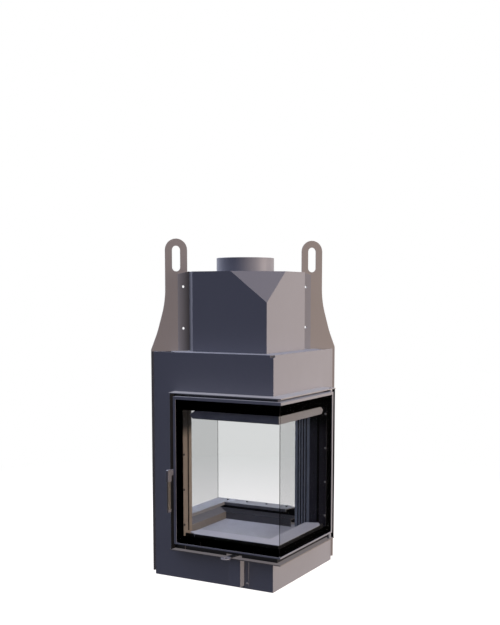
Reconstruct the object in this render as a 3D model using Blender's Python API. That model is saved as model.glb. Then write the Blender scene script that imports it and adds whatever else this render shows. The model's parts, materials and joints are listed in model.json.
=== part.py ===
"""See-through corner firebox: a square steel unit with two L-shaped glass doors.

Metres, +Z up. The origin is the centre of the base. The front door wraps the corner
between +X and -Y, and the rear door is the same set turned half round about Z. A post
stands at each of the other two corners. The letter q is the distance of a plane,
parallel to a wall, from the centre line; s is the distance along the line through
the two posts.
"""

import math

import bmesh
import bpy
from mathutils import Matrix, Vector
from mathutils.geometry import tessellate_polygon

# Shared clearances
touch = 0.0003                 # gap between pieces that touch
running_gap = 0.0004           # radial gap round a turning pin
overrun = 0.010                # how far a trimming plane or a rough end reaches past

# Casing
half_width = 0.2325            # centre line to the outer face of a wall
root_two = math.sqrt(2)
half_diagonal = half_width * root_two
casing_height = 0.780
casing_sheet = 0.003
corner_relief = 0.008          # small notch at the top of the glass corner

# Surround, the projecting rim that the door closes into
surround_sheet = 0.003
face_stand_out = 0.0553        # casing face to the rim's front edge
seat_stand_out = 0.0325        # casing face to the seat that the seal meets
lip_underside_z = 0.1105       # underside of the lower lip
window_head = 0.135            # upper lip's underside to the casing's top
window_stile = 0.1055          # casing's edge to the window's upright edge
window_reach = half_width - window_stile
lip_wall_overhang = 0.016      # lip past the rim, along the casing
lip_front_overhang = 0.004     # lip past the rim, at its front edge
upper_seat_height = 0.051

# Door
handle_gap = 0.0105            # between the rim and the door, where the handle sits
door_gap_low = 0.0205          # lower lip to the door
door_gap_high = 0.009          # door to the upper lip
door_setback = 0.0003          # door face behind the rim's front edge
bar_width = 0.0095             # visible width of the door's frame bar
low_bar_width = 0.0045         # the same for the rail below the glass
bar_wall = 0.0025
bar_depth = 0.0175
bar_face = 0.0014              # thickness of the bar's front flange
glass_thickness = 0.004
glass_seam = 0.0006            # joint between the two panes at the corner
seal_height = 0.0116           # seal across its width, seen from the front
seal_sides = 12
seal_inset = 0.0082            # seal from the door's outer edge

# Door hinge
hinge_face_inset = 0.0088      # hinge axis behind the rim's front edge
hinge_side_inset = 0.0080      # hinge axis from the door's upright edge
pin_radius = 0.003
pin_flange_radius = 0.0055
pin_flange_height = 0.0015
pin_past_lip = 0.0025
bush_radius = 0.007
round_sides = 20
smooth_limit = math.radians(40)

# Door handle
handle_width = 0.0090
handle_front = 0.0312          # handle's front past the rim's front edge
handle_block_depth = 0.021
handle_block_top = 0.2775      # above the lower lip's top
handle_block_height = 0.0405
handle_arm_height = 0.018
handle_arm_drop = 0.003        # arm's top below the block's top
handle_pivot_inset = 0.0088    # pivot behind the rim's front edge
grip_length = 0.0945
grip_width = 0.0066
grip_depth = 0.017
cap_height = 0.0088
cap_width = 0.0090
cap_depth = 0.020
pivot_radius = 0.003
edge_round = 0.004
eye_steps = 10
edge_steps = 5
grip_steps = 8

# Jambs, the bent plates beside each window
jamb_cover = 0.0425            # rim's inner face to the jamb's visible face
jamb_reach = window_reach - jamb_cover
jamb_sheet = 0.003
jamb_front_gap = 0.0053        # jamb's front edge to the glass
seal_clearance = 0.0008        # between the seal's runs and the pieces above and below
jamb_split_out = 0.0175        # where the front plate meets the inner plate
jamb_split_q = half_width + jamb_split_out
jamb_knee_out = 0.0045
jamb_knee_q = half_width + jamb_knee_out
jamb_knee_step = 0.0015
jamb_end_in = 0.0243
jamb_end_q = half_width - jamb_end_in
jamb_end_step = 0.0092

# Post linings, ribbed plates across the two blind corners
lining_stand_in = 0.1158       # casing's corner to the lining's face
lining_s = half_diagonal - lining_stand_in
lining_side_gap = 0.00176      # between a lining and the jamb's end
lining_half_width = (jamb_end_q - jamb_reach - jamb_end_step) / root_two - lining_side_gap
lining_thickness = 0.018
lining_headroom = 0.120        # below the casing's top
lining_top_z = casing_height - lining_headroom
groove_width = 0.012
groove_depth = 0.006
groove_pitch = 0.029
groove_count = 4

# Hearth floor, kerb and sill
floor_top_z = 0.113
floor_sheet = 0.003
floor_corner_in = 0.0328
floor_corner_s = half_diagonal - floor_corner_in
kerb_in = 0.0375               # casing's face to the kerb's
kerb_q = half_width - kerb_in
kerb_top_z = 0.1405
kerb_sheet = 0.003
sill_top_z = 0.1745
sill_sheet = 0.003
sill_inner_in = 0.0225
sill_inner_q = half_width - sill_inner_in
sill_outer_out = 0.0415
sill_outer_q = half_width + sill_outer_out
sill_inner_drop = 0.012
sill_outer_drop = 0.020
sill_inner_short = 0.0295      # jamb's face to the sill's end, inner edge
sill_inner_reach = jamb_reach - sill_inner_short
sill_knee_short = 0.0115
sill_knee_reach = jamb_reach - sill_knee_short
sill_knee_out = 0.0225
sill_knee_q = half_width + sill_knee_out
sill_outer_short = 0.0435
sill_outer_reach = jamb_reach - sill_outer_short

# Air beam above each window
beam_outer_out = 0.0415
beam_outer_q = half_width + beam_outer_out
beam_drop = 0.081              # beam's underside below the upper lip
beam_low_z = casing_height - window_head - beam_drop
beam_sheet = 0.003
beam_front_height = 0.028
beam_back_overlap = 0.012
beam_nose_short = 0.0245
beam_nose_reach = jamb_reach - beam_nose_short
beam_nose_rise = 0.013         # nose above the beam's underside
beam_top_short = 0.0465
beam_top_reach = jamb_reach - beam_top_short
beam_low_short = 0.0365
beam_low_reach = jamb_reach - beam_low_short

# Deck plate
deck_sheet = 0.003
deck_corner_in = 0.0633        # where the deck's two post corners are cut off
deck_corner_s = half_diagonal - deck_corner_in

# Smoke hood
hood_step_in = 0.0525          # casing's face to the hood's
hood_half = half_width - hood_step_in
hood_height = 0.271
hood_top_z = casing_height + hood_height
hood_sheet = 0.003
hood_corner_cut = 0.05306      # face across each post corner, from the corner
hood_corner_s = hood_half * root_two - hood_corner_cut
facet_margin = 0.044
facet_run = hood_half - facet_margin
facet_drop = 0.104
hood_flange_width = 0.0395
hood_flange_s = hood_corner_s + hood_flange_width
hood_flange_drop = 0.008
hood_flange_slope_s = 0.0025
bolt_hole_out = 0.0205
bolt_hole_s = hood_corner_s + bolt_hole_out
bolt_hole_radius = 0.0045
bolt_hole_upper_drop = 0.0505  # below the hood's top
bolt_hole_lower_rise = 0.078   # above the deck
bolt_hole_sides = 16

deck_hole_ledge = 0.010        # deck left inside the hood's walls
deck_hole_half = hood_half - deck_hole_ledge
deck_hole_s = hood_corner_s - deck_hole_ledge

# Flue collar
collar_margin = 0.080          # collar's face to the hood's
collar_radius = hood_half - collar_margin
collar_wall = 0.0025
collar_height = 0.048
collar_depth = 0.012
collar_sides = 64

# Lifting plates
plate_thickness = 0.003
ear_centre_in = 0.0831
ear_centre_s = half_diagonal - ear_centre_in
ear_radius = 0.0385
ear_rise = 0.112               # ear's top above the hood
ear_top_z = hood_top_z + ear_rise
ear_slot_radius = 0.01425
ear_slot_top_rise = 0.088
ear_slot_top_z = hood_top_z + ear_slot_top_rise
ear_slot_low_rise = 0.001
ear_slot_low_z = hood_top_z + ear_slot_low_rise
plate_shoulder_drop = 0.101
plate_shoulder_z = hood_top_z - plate_shoulder_drop
plate_flare_in = 0.0162
plate_flare_s = half_diagonal - plate_flare_in
plate_flare_rise = 0.065
plate_flare_z = casing_height + plate_flare_rise
plate_outer_out = 0.0062
plate_outer_s = half_diagonal + plate_outer_out
plate_outer_top_rise = 0.006
plate_foot_z = 0.014
plate_leg_width = 0.035
plate_step_drop = 0.040
plate_step_z = casing_height - plate_step_drop
plate_step_low_drop = 0.080
plate_step_low_z = casing_height - plate_step_low_drop
ear_arc_steps = 14
shoulder_reach = 0.045         # how far the eased corners of the outline reach each way
flare_reach = 0.018
eased_steps = 6
slot_arc_steps = 8

# Base plate and air inlet
base_sheet = 0.003
air_slot_width = 0.034
air_slot_length = 0.046
air_slot_pitch = 0.078
air_slot_in = 0.0605           # casing's face to the centre of the slots
air_slot_q = half_width - air_slot_in
damper_sheet = 0.003
damper_margin_x = 0.012
damper_margin_back = 0.013
damper_margin_front = 0.004
guide_wall = 0.003
guide_cover = 0.006
guide_sheet = 0.002
guide_length = 0.150
guide_gap = 0.0005
weld_depth = 0.001             # how far welded pieces run into each other

# Air control lever, rod and crank
lever_axis_x = 0.104
lever_axis_out = 0.0135
lever_axis_q = half_width + lever_axis_out
lever_rest_angle = math.radians(-10.6)
lever_sheet = 0.003
lever_ring_distance = 0.0558
lever_ring_radius = 0.0168
lever_hole_radius = 0.0085
lever_arm_width = 0.020
lever_hub_radius = 0.0110
lever_seat_notch_half = 0.030
lever_seat_notch_height = 0.0065
rod_radius = 0.004
rod_head_radius = 0.006
rod_head_height = 0.002
crank_length = 0.040
crank_width = 0.010
crank_hub_share = 0.75         # radius of the crank's round ends, as a share of its width
crank_sheet = 0.003
crank_underside_z = 0.0125
crank_pin_radius = 0.0025
crank_pin_head_radius = 0.004
crank_slot_width = 0.0072
crank_slot_length = 0.014
link_arc_steps = 16
crank_swing_share = 0.5        # how far the pin moves sideways, as a share of the crank
wall_slot_half = 0.0165
wall_slot_low_z = 0.008
wall_slot_height = 0.013
cover_width = 0.0425
cover_stand_out = 0.0275
cover_flange = 0.0175
cover_sheet = 0.002
cover_low_z = 0.010

# Smoke baffle
baffle_in = 0.0375
baffle_half = half_width - baffle_in
baffle_corner_in = 0.1238
baffle_corner_s = half_diagonal - baffle_corner_in
baffle_thickness = 0.012
baffle_drop = 0.0827
baffle_low_z = casing_height - baffle_drop
rail_length = 0.240
rail_reach = 0.054
rail_height = 0.037
rail_sheet = 0.003

# Planes and levels worked out from the sizes above
wall_in_q = half_width - casing_sheet
face_q = half_width + face_stand_out
seat_q = half_width + seat_stand_out
seat_in_q = seat_q - surround_sheet
lip_top_z = lip_underside_z + surround_sheet
upper_lip_z = casing_height - window_head
rim_reach = window_reach + surround_sheet
door_reach = window_reach - handle_gap
door_low_z = lip_top_z + door_gap_low
door_high_z = upper_lip_z - door_gap_high
door_q = face_q - door_setback
bar_face_q = door_q - bar_face
glass_out_q = bar_face_q - touch
glass_in_q = glass_out_q - glass_thickness
bar_back_q = door_q - bar_depth
pane_reach = door_reach - bar_wall - touch
pane_low_z = door_low_z + bar_wall + touch
pane_high_z = door_high_z - bar_wall - touch
seal_mid_q = (glass_in_q + seat_q) / 2
seal_depth = glass_in_q - seat_q - 2 * touch
hinge_x = face_q - hinge_face_inset
hinge_y = door_reach - hinge_side_inset
seat_start = jamb_reach - touch
deck_low_z = casing_height - deck_sheet
sill_low_z = sill_top_z - sill_sheet
handle_y = -(face_q + handle_front)
handle_back_y = handle_y + handle_block_depth
handle_top_z = lip_top_z + handle_block_top
handle_x = -(door_reach + handle_gap / 2)
pivot_y = -(face_q - handle_pivot_inset)
pivot_z = handle_top_z - handle_arm_drop - handle_arm_height / 2
jamb_front_q = glass_in_q - jamb_front_gap
damper_low_z = base_sheet + touch
damper_top_z = damper_low_z + damper_sheet


def colour(hex_value):
    """Turn an sRGB hex value into the linear colour that a shader takes."""
    channels = [int(hex_value[i:i + 2], 16) / 255 for i in (0, 2, 4)]
    linear = [c / 12.92 if c <= 0.04045 else ((c + 0.055) / 1.055) ** 2.4 for c in channels]
    return (*linear, 1.0)


finishes = {
    "steel": ("6e7078", 0.42, 0.85),
    "dark_steel": ("4a4a50", 0.50, 0.80),
    "bright_steel": ("9a9a9e", 0.35, 0.90),
    "black_steel": ("232326", 0.55, 0.60),
    "lining": ("4b453f", 0.85, 0.00),
    "seal": ("35353a", 0.95, 0.00),
    "glass": ("dfe3e4", 0.05, 0.00),
}


def make_material(name, finish):
    hex_value, roughness, metallic = finishes[finish]
    material = bpy.data.materials.new(name + "_" + finish)
    material.use_nodes = True
    shader = material.node_tree.nodes["Principled BSDF"]
    shader.inputs["Base Color"].default_value = colour(hex_value)
    shader.inputs["Roughness"].default_value = roughness
    shader.inputs["Metallic"].default_value = metallic
    if finish == "glass":
        shader.inputs["Transmission Weight"].default_value = 1.0
    material.diffuse_color = colour(hex_value)
    return material


def add_body(bm, vertices, faces):
    """Add one closed body, given as points and index tuples."""
    made = [bm.verts.new(v) for v in vertices]
    for face in faces:
        bm.faces.new([made[i] for i in face])
    return made


def plan(low_z):
    """Frame whose outline lies level and whose depth rises from low_z."""
    return lambda u, v, w: (u, v, low_z + w)


def upright(origin, along, depth):
    """Frame whose outline has u along a level direction and v straight up."""
    def place(u, v, w):
        return (origin[0] + along[0] * u + depth[0] * w,
                origin[1] + along[1] * u + depth[1] * w, v)
    return place


def diagonal(side, low_n):
    """Frame in a post's diagonal plane: u is s, v is height, w goes towards the front door."""
    return lambda u, v, w: ((side * u + low_n + w) / root_two,
                            (side * u - low_n - w) / root_two, v)


def prism(bm, outline, place, depth, holes=()):
    """Extrude a flat outline, with any holes, into one closed body."""
    loops = [list(outline)] + [list(hole) for hole in holes]
    flat = [Vector((u, v, 0)) for loop in loops for u, v in loop]
    count = len(flat)
    starts = []
    total = 0
    for loop in loops:
        starts.append(total)
        total += len(loop)
    tessellated = tessellate_polygon([[Vector((u, v, 0)) for u, v in loop] for loop in loops])
    vertices = [place(p.x, p.y, 0) for p in flat] + [place(p.x, p.y, depth) for p in flat]
    faces = []
    for a, b, c in tessellated:
        faces.append((a, b, c))
        faces.append((a + count, c + count, b + count))
    for start, loop in zip(starts, loops):
        for i in range(len(loop)):
            a = start + i
            b = start + (i + 1) % len(loop)
            faces.append((a, b, b + count, a + count))
    add_body(bm, vertices, faces)


def circle(centre, radius, sides):
    angles = [2 * math.pi * (i + 0.5) / sides for i in range(sides)]
    return [(centre[0] + radius * math.cos(a), centre[1] + radius * math.sin(a)) for a in angles]


def arc(centre, radius, start, end, steps):
    angles = [start + (end - start) * i / steps for i in range(steps + 1)]
    return [(centre[0] + radius * math.cos(a), centre[1] + radius * math.sin(a)) for a in angles]


def turned(bm, profile, base, axis, sides):
    """Turn (radius, height) points about an axis. A zero radius closes on the axis."""
    axis = Vector(axis).normalized()
    turn = Vector((0, 0, 1)).rotation_difference(axis).to_matrix()
    rings = []
    for radius, height in profile:
        if radius == 0:
            rings.append([bm.verts.new(Vector(base) + turn @ Vector((0, 0, height)))])
            continue
        ring = [Vector((x, y, height)) for x, y in circle((0, 0), radius, sides)]
        rings.append([bm.verts.new(Vector(base) + turn @ p) for p in ring])
    solid = profile[0][0] == 0
    pairs = list(zip(rings, rings[1:]))
    if not solid:
        pairs.append((rings[-1], rings[0]))
    for first, second in pairs:
        for i in range(sides):
            j = (i + 1) % sides
            corner = [first[i % len(first)], first[j % len(first)],
                      second[j % len(second)], second[i % len(second)]]
            bm.faces.new(list(dict.fromkeys(corner)))


def corner_bar(bm, profile, reach):
    """Sweep a (q, z) profile round the glass corner, to the same reach on both sides."""
    count = len(profile)
    vertices = [(-reach, -q, z) for q, z in profile]
    vertices += [(q, -q, z) for q, z in profile]
    vertices += [(q, reach, z) for q, z in profile]
    faces = [tuple(range(count)), tuple(range(3 * count - 1, 2 * count - 1, -1))]
    for step in (0, count):
        for i in range(count):
            j = (i + 1) % count
            faces.append((step + i, step + j, step + j + count, step + i + count))
    add_body(bm, vertices, faces)


def corner_path(q, stations, mitre=0):
    """Points at distance q: along the front, round the glass corner and along the side."""
    places = list(stations)
    if mitre:
        places = [-q + mitre] + places
    return [(x, -q) for x in places] + [(q, -q)] + [(q, -x) for x in reversed(places)]


def cell_sheet(bm, outer, inner, levels, missing=()):
    """Upright sheet between two plan paths, split into cells, of which some are left out."""
    columns = len(outer) - 1
    rows = len(levels) - 1
    made = {}

    def vertex(side, i, j):
        key = (side, i, j)
        if key not in made:
            x, y = (outer, inner)[side][i]
            made[key] = bm.verts.new((x, y, levels[j]))
        return made[key]

    def present(i, j):
        return 0 <= i < columns and 0 <= j < rows and (i, j) not in missing

    for i in range(columns):
        for j in range(rows):
            if not present(i, j):
                continue
            ring = [(i, j), (i + 1, j), (i + 1, j + 1), (i, j + 1)]
            for side in (0, 1):
                bm.faces.new([vertex(side, *p) for p in ring])
            for k, (di, dj) in enumerate([(0, -1), (1, 0), (0, 1), (-1, 0)]):
                if not present(i + di, j + dj):
                    p = ring[k]
                    r = ring[(k + 1) % 4]
                    bm.faces.new([vertex(0, *p), vertex(0, *r), vertex(1, *r), vertex(1, *p)])


def trim(bm, point, normal):
    """Cut away what lies on the side that the normal points to, and close the cut."""
    bmesh.ops.triangulate(bm, faces=bm.faces[:])
    everything = bm.verts[:] + bm.edges[:] + bm.faces[:]
    cut = bmesh.ops.bisect_plane(bm, geom=everything, dist=touch / 100, plane_co=point,
                                 plane_no=normal, clear_outer=True)
    edges = [e for e in cut["geom_cut"] if isinstance(e, bmesh.types.BMEdge)]
    bmesh.ops.edgeloop_fill(bm, edges=edges)


def trim_both_ends(bm, first, second):
    """Cut the front end of a corner piece by an upright plane through two (reach, q)
    points, and its side end by the mirrored plane."""
    along = Vector((-(second[0] - first[0]), -(second[1] - first[1]), 0))
    normal = Vector((along.y, -along.x, 0))
    point = Vector((-first[0], -first[1], 0))
    if normal.x > 0:
        normal = -normal
    trim(bm, point, normal)
    trim(bm, (-point.y, -point.x, 0), (-normal.y, -normal.x, 0))


def mirrored(points):
    """The plan points on the other side of the glass corner."""
    return [(-y, -x) for x, y in points]


def offset_path(points, distance):
    """Shift an open plan path to its left by a distance, with mitred knees."""
    shifted = []
    for i, point in enumerate(points):
        here = Vector(point)
        sides = []
        if i > 0:
            sides.append((here - Vector(points[i - 1])).normalized())
        if i < len(points) - 1:
            sides.append((Vector(points[i + 1]) - here).normalized())
        lefts = [Vector((-d.y, d.x)) for d in sides]
        bisector = sum(lefts, Vector((0, 0))).normalized()
        shifted.append(tuple(here + bisector * (distance / bisector.dot(lefts[0]))))
    return shifted


def cut_square(half, post_cut, glass_cut):
    """Square with its post corners cut where |x + y| is post_cut and its glass corners
    cut where |x - y| is glass_cut. A cut of twice the half or more leaves the corner."""
    points = []
    for sign in (1, -1):
        if glass_cut < 2 * half:
            points += [(sign * (glass_cut - half), -sign * half), (sign * half, sign * (half - glass_cut))]
        else:
            points.append((sign * half, -sign * half))
        points += [(sign * half, sign * (post_cut - half)), (sign * (post_cut - half), sign * half)]
    return points


def chamber_side():
    """(reach, q) points along a jamb's visible faces, from its knee into the chamber."""
    return [(jamb_reach, jamb_split_q), (jamb_reach + jamb_knee_step, jamb_knee_q),
            (jamb_reach + jamb_end_step, jamb_end_q)]


def turn_half_round(bm):
    bmesh.ops.rotate(bm, verts=bm.verts[:], cent=(0, 0, 0), matrix=Matrix.Rotation(math.pi, 3, "Z"))


def finish(name, bm, finish_name, carrier=None, smooth=False):
    """Make the named object, with its origin on its carrier when it has one."""
    bmesh.ops.recalc_face_normals(bm, faces=bm.faces[:])
    if carrier:
        bmesh.ops.translate(bm, verts=bm.verts[:], vec=-carrier.matrix_world.translation)
    mesh = bpy.data.meshes.new(name)
    bm.to_mesh(mesh)
    bm.free()
    mesh.materials.append(make_material(name, finish_name))
    if smooth:
        mesh.shade_smooth()
        mesh.set_sharp_from_angle(angle=smooth_limit)
    piece = bpy.data.objects.new(name, mesh)
    bpy.context.scene.collection.objects.link(piece)
    piece.parent = carrier
    return piece


def make_carrier(name, place, parent=None):
    """Empty on a joint's axis, which the moving pieces are parented to."""
    carrier = bpy.data.objects.new(name, None)
    carrier.empty_display_size = bush_radius
    bpy.context.scene.collection.objects.link(carrier)
    carrier.parent = parent
    base = parent.matrix_world.translation if parent else Vector((0, 0, 0))
    carrier.location = Vector(place) - base
    bpy.context.view_layer.update()
    return carrier


def spaced(low, high, count):
    """Evenly spaced values from low to high, both included."""
    return [low + (high - low) * i / (count - 1) for i in range(count)]


def make_base_plate():
    bm = bmesh.new()
    half = wall_in_q - touch
    square = cut_square(half, (plate_outer_s - plate_leg_width - overrun) * root_two, 2 * half)
    holes = []
    for side in (-1, 1):
        x = lever_axis_x + side * air_slot_pitch / 2
        holes.append(rectangle(x, -air_slot_q, air_slot_width, air_slot_length))
    prism(bm, square, plan(0), base_sheet, holes)
    finish("base_plate", fuse([bm] + damper_guides()), "dark_steel")


def damper_guides():
    """Two rails welded to the base plate, which the damper slides under."""
    centre_y, _, depth = damper_size()
    low_z = base_sheet - weld_depth
    cover_z = damper_top_z + guide_gap
    edge = depth / 2 + guide_gap
    profile = [(edge, low_z), (edge + guide_wall, low_z), (edge + guide_wall, cover_z + guide_sheet),
               (edge - guide_cover, cover_z + guide_sheet), (edge - guide_cover, cover_z),
               (edge, cover_z)]
    guides = []
    for side in (-1, 1):
        guide = bmesh.new()
        start = (lever_axis_x - guide_length / 2, centre_y)
        prism(guide, profile, upright(start, (0, side), (1, 0)), guide_length)
        guides.append(guide)
    return guides


def rectangle(x, y, width, depth):
    return [(x - width / 2, y - depth / 2), (x + width / 2, y - depth / 2),
            (x + width / 2, y + depth / 2), (x - width / 2, y + depth / 2)]


def make_casing(name, turned_round, with_air_slot):
    """Front and side walls in one bent sheet, with the L-shaped window cut out."""
    bm = bmesh.new()
    slot = (lever_axis_x - wall_slot_half, lever_axis_x + wall_slot_half)
    stations = [-window_reach, slot[0], slot[1], wall_in_q - corner_relief]
    mitre = (plate_thickness / 2 + touch) * root_two
    outer = corner_path(half_width, stations, mitre)
    inner = corner_path(wall_in_q, stations, mitre)
    levels = [0, wall_slot_low_z, wall_slot_low_z + wall_slot_height, lip_top_z, upper_lip_z,
              casing_height - corner_relief, casing_height]
    window_columns = range(1, len(outer) - 2)
    missing = {(i, 3) for i in window_columns}
    middle = (len(outer) - 1) // 2
    missing |= {(middle - 1, 5), (middle, 5)}
    if with_air_slot:
        missing.add((2, 1))
    cell_sheet(bm, outer, inner, levels, missing)
    if turned_round:
        turn_half_round(bm)
    finish(name, bm, "steel")


def make_deck():
    bm = bmesh.new()
    half = wall_in_q - touch
    outline = cut_square(half, deck_corner_s * root_two, 2 * half - corner_relief)
    hole = cut_square(deck_hole_half, deck_hole_s * root_two, 2 * deck_hole_half)
    prism(bm, outline, plan(deck_low_z), deck_sheet, [hole])
    finish("deck_plate", bm, "steel")


def eased_corner(before, corner, after, reach, steps):
    """Points of a parabola that rounds a corner, starting and ending reach away from it."""
    corner = Vector(corner)
    start = corner + (Vector(before) - corner).normalized() * reach
    end = corner + (Vector(after) - corner).normalized() * reach
    shares = [i / steps for i in range(steps + 1)]
    return [tuple(start.lerp(corner, share).lerp(corner.lerp(end, share), share)) for share in shares]


def ear_outline():
    """Lifting plate's outline in (s, z), from the ear down to the foot in the corner."""
    centre = (ear_centre_s, ear_top_z - ear_radius)
    points = arc(centre, ear_radius, math.pi, 0, ear_arc_steps)
    inner_s = ear_centre_s - ear_radius
    leg_s = plate_outer_s - plate_leg_width
    passing_s = deck_corner_s + touch
    shoulder = (ear_centre_s + ear_radius, plate_shoulder_z)
    flare = (plate_flare_s, plate_flare_z)
    outer_top = (plate_outer_s, casing_height + plate_outer_top_rise)
    points += eased_corner(points[-1], shoulder, flare, shoulder_reach, eased_steps)
    points += eased_corner(shoulder, flare, outer_top, flare_reach, eased_steps)
    return points + [
        outer_top,
        (plate_outer_s, plate_foot_z),
        (leg_s, plate_foot_z),
        (leg_s, plate_step_low_z),
        (passing_s, plate_step_z),
        (passing_s, casing_height + touch),
        (inner_s, casing_height + touch),
    ]


def bolt_holes():
    heights = (hood_top_z - bolt_hole_upper_drop, casing_height + bolt_hole_lower_rise)
    return [circle((bolt_hole_s, z), bolt_hole_radius, bolt_hole_sides) for z in heights]


def make_lifting_plate(name, side):
    bm = bmesh.new()
    top = (ear_centre_s, ear_slot_top_z - ear_slot_radius)
    low = (ear_centre_s, ear_slot_low_z + ear_slot_radius)
    slot = arc(top, ear_slot_radius, 0, math.pi, slot_arc_steps)
    slot += arc(low, ear_slot_radius, math.pi, 2 * math.pi, slot_arc_steps)
    place = diagonal(side, -plate_thickness / 2)
    prism(bm, ear_outline(), place, plate_thickness, [slot] + bolt_holes())
    finish(name, bm, "steel")


def facet_normal():
    """Outward normal of the sloping facet at the hood's glass corner."""
    run = Vector((1, -1, 0)).normalized()
    return (run * facet_drop + Vector((0, 0, 1)) * (facet_run / root_two)).normalized()


def facet_points(half, inset):
    """Facet's two top points and its low point on walls at half, set back by inset."""
    normal = facet_normal()
    level = Vector((hood_half, -hood_half, hood_top_z - facet_drop)).dot(normal) - inset
    low = Vector((half, -half, (level - half * (normal.x - normal.y)) / normal.z))
    top_x = (level + half * normal.y - hood_top_z * normal.z) / normal.x
    return (top_x, -half), low, (half, -top_x)


def hood_walls(start, knee):
    """The bent walls as one closed shell, from one post face round to the other."""
    low_z = casing_height + touch
    path = [start, knee, (hood_half, -hood_half)] + mirrored([knee, start])
    rings = []
    for inset in (0, hood_sheet):
        plan_points = offset_path(path, inset)
        front_top, low, side_top = facet_points(hood_half - inset, inset)
        bottom = [(x, y, low_z) for x, y in plan_points]
        tops = [plan_points[0], plan_points[1], front_top, side_top, plan_points[3], plan_points[4]]
        rings.append(bottom + [(x, y, hood_top_z) for x, y in tops] + [tuple(low)])
    count = len(rings[0])
    # Bottom points are 0 to 4, top points 5 to 10, and the facet's low point is 11
    surface = [(0, 1, 6, 5), (1, 2, 11, 7, 6), (2, 3, 9, 8, 11), (3, 4, 10, 9), (7, 11, 8)]
    rim = [0, 1, 2, 3, 4, 10, 9, 8, 7, 6, 5]
    faces = surface + [tuple(i + count for i in face) for face in surface]
    for a, b in zip(rim, rim[1:] + rim[:1]):
        faces.append((a, b, b + count, a + count))
    walls = bmesh.new()
    add_body(walls, rings[0] + rings[1], faces)
    return walls


def make_hood(name, turned_round):
    """Half of the hood: two walls with the corner facet, half of each post face, two flanges."""
    near = plate_thickness / 2 + touch
    wall_near = near + weld_depth
    start = ((-hood_corner_s + wall_near) / root_two, (-hood_corner_s - wall_near) / root_two)
    knee = (hood_half - hood_corner_s * root_two, -hood_half)
    low_z = casing_height + touch + weld_depth
    top_z = hood_top_z + weld_depth
    inner_s = hood_corner_s - weld_depth
    outline = [(inner_s, low_z), (hood_flange_s, low_z), (hood_flange_s, hood_top_z - hood_flange_drop),
               (hood_corner_s + hood_flange_slope_s, top_z), (inner_s, top_z)]
    flanges = [bmesh.new(), bmesh.new()]
    for side, flange in zip((-1, 1), flanges):
        prism(flange, outline, diagonal(side, near), hood_sheet, bolt_holes())
    hood = fuse([hood_walls(start, knee)] + flanges)
    if turned_round:
        turn_half_round(hood)
    finish(name, hood, "steel")


def fuse(bodies, drill=None):
    """Union of overlapping closed bodies, less a drill's body, as one mesh."""
    steps = [(body, "UNION") for body in bodies]
    if drill:
        steps.append((drill, "DIFFERENCE"))
    made = []
    for body, operation in steps:
        bmesh.ops.recalc_face_normals(body, faces=body.faces[:])
        made.append(object_from(body, "fused"))
        body.free()
        if len(made) > 1:
            modifier = made[0].modifiers.new("Step", "BOOLEAN")
            modifier.operation = operation
            modifier.solver = "EXACT"
            modifier.object = made[-1]
    base = made[0]
    bpy.context.view_layer.update()
    evaluated = base.evaluated_get(bpy.context.evaluated_depsgraph_get())
    mesh = bpy.data.meshes.new_from_object(evaluated)
    result = bmesh.new()
    result.from_mesh(mesh)
    bpy.data.meshes.remove(mesh)
    for temporary in made:
        mesh = temporary.data
        bpy.data.objects.remove(temporary)
        bpy.data.meshes.remove(mesh)
    return result


def object_from(bm, name):
    mesh = bpy.data.meshes.new(name)
    bm.to_mesh(mesh)
    made = bpy.data.objects.new(name, mesh)
    bpy.context.scene.collection.objects.link(made)
    return made


def make_hood_top():
    bm = bmesh.new()
    inset = hood_sheet + touch
    (top_x, top_y), _, _ = facet_points(hood_half - inset, inset)
    outline = cut_square(hood_half - inset, (hood_corner_s - inset) * root_two, top_x - top_y)
    hole = circle((0, 0), collar_radius + touch, collar_sides)
    prism(bm, outline, plan(hood_top_z - hood_sheet), hood_sheet, [hole])
    finish("hood_top", bm, "steel")


def make_collar():
    bm = bmesh.new()
    low_z = hood_top_z - collar_depth
    high_z = hood_top_z + collar_height
    inner = collar_radius - collar_wall
    profile = [(collar_radius, low_z), (collar_radius, high_z), (inner, high_z), (inner, low_z)]
    turned(bm, profile, (0, 0, 0), (0, 0, 1), collar_sides)
    finish("flue_collar", bm, "steel", smooth=True)


def make_floor():
    bm = bmesh.new()
    half = wall_in_q - touch
    outline = cut_square(half, floor_corner_s * root_two, 2 * half)
    prism(bm, outline, plan(floor_top_z - floor_sheet), floor_sheet)
    finish("hearth_floor", bm, "dark_steel")


def make_kerb(name, turned_round):
    """Low step round the hearth, whose top runs back under the sill."""
    bm = bmesh.new()
    outer_q = seat_in_q - touch
    low_z = floor_top_z + touch
    back_q = kerb_q + kerb_sheet
    profile = [(kerb_q, low_z), (back_q, low_z), (back_q, kerb_top_z - kerb_sheet),
               (outer_q, kerb_top_z - kerb_sheet), (outer_q, kerb_top_z), (kerb_q, kerb_top_z)]
    corner_bar(bm, profile, jamb_reach - touch)
    if turned_round:
        turn_half_round(bm)
    finish(name, bm, "dark_steel")


def make_sill(name, turned_round):
    bm = bmesh.new()
    profile = [
        (sill_outer_q, sill_top_z), (sill_inner_q, sill_top_z),
        (sill_inner_q, sill_top_z - sill_inner_drop),
        (sill_inner_q + sill_sheet, sill_top_z - sill_inner_drop),
        (sill_inner_q + sill_sheet, sill_low_z), (sill_outer_q - sill_sheet, sill_low_z),
        (sill_outer_q - sill_sheet, sill_top_z - sill_outer_drop),
        (sill_outer_q, sill_top_z - sill_outer_drop),
    ]
    corner_bar(bm, profile, jamb_reach - touch)
    trim_both_ends(bm, (sill_inner_reach, sill_inner_q), (sill_knee_reach, sill_knee_q))
    trim_both_ends(bm, (sill_knee_reach, sill_knee_q), (sill_outer_reach, sill_outer_q))
    if turned_round:
        turn_half_round(bm)
    finish(name, bm, "steel")


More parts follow.
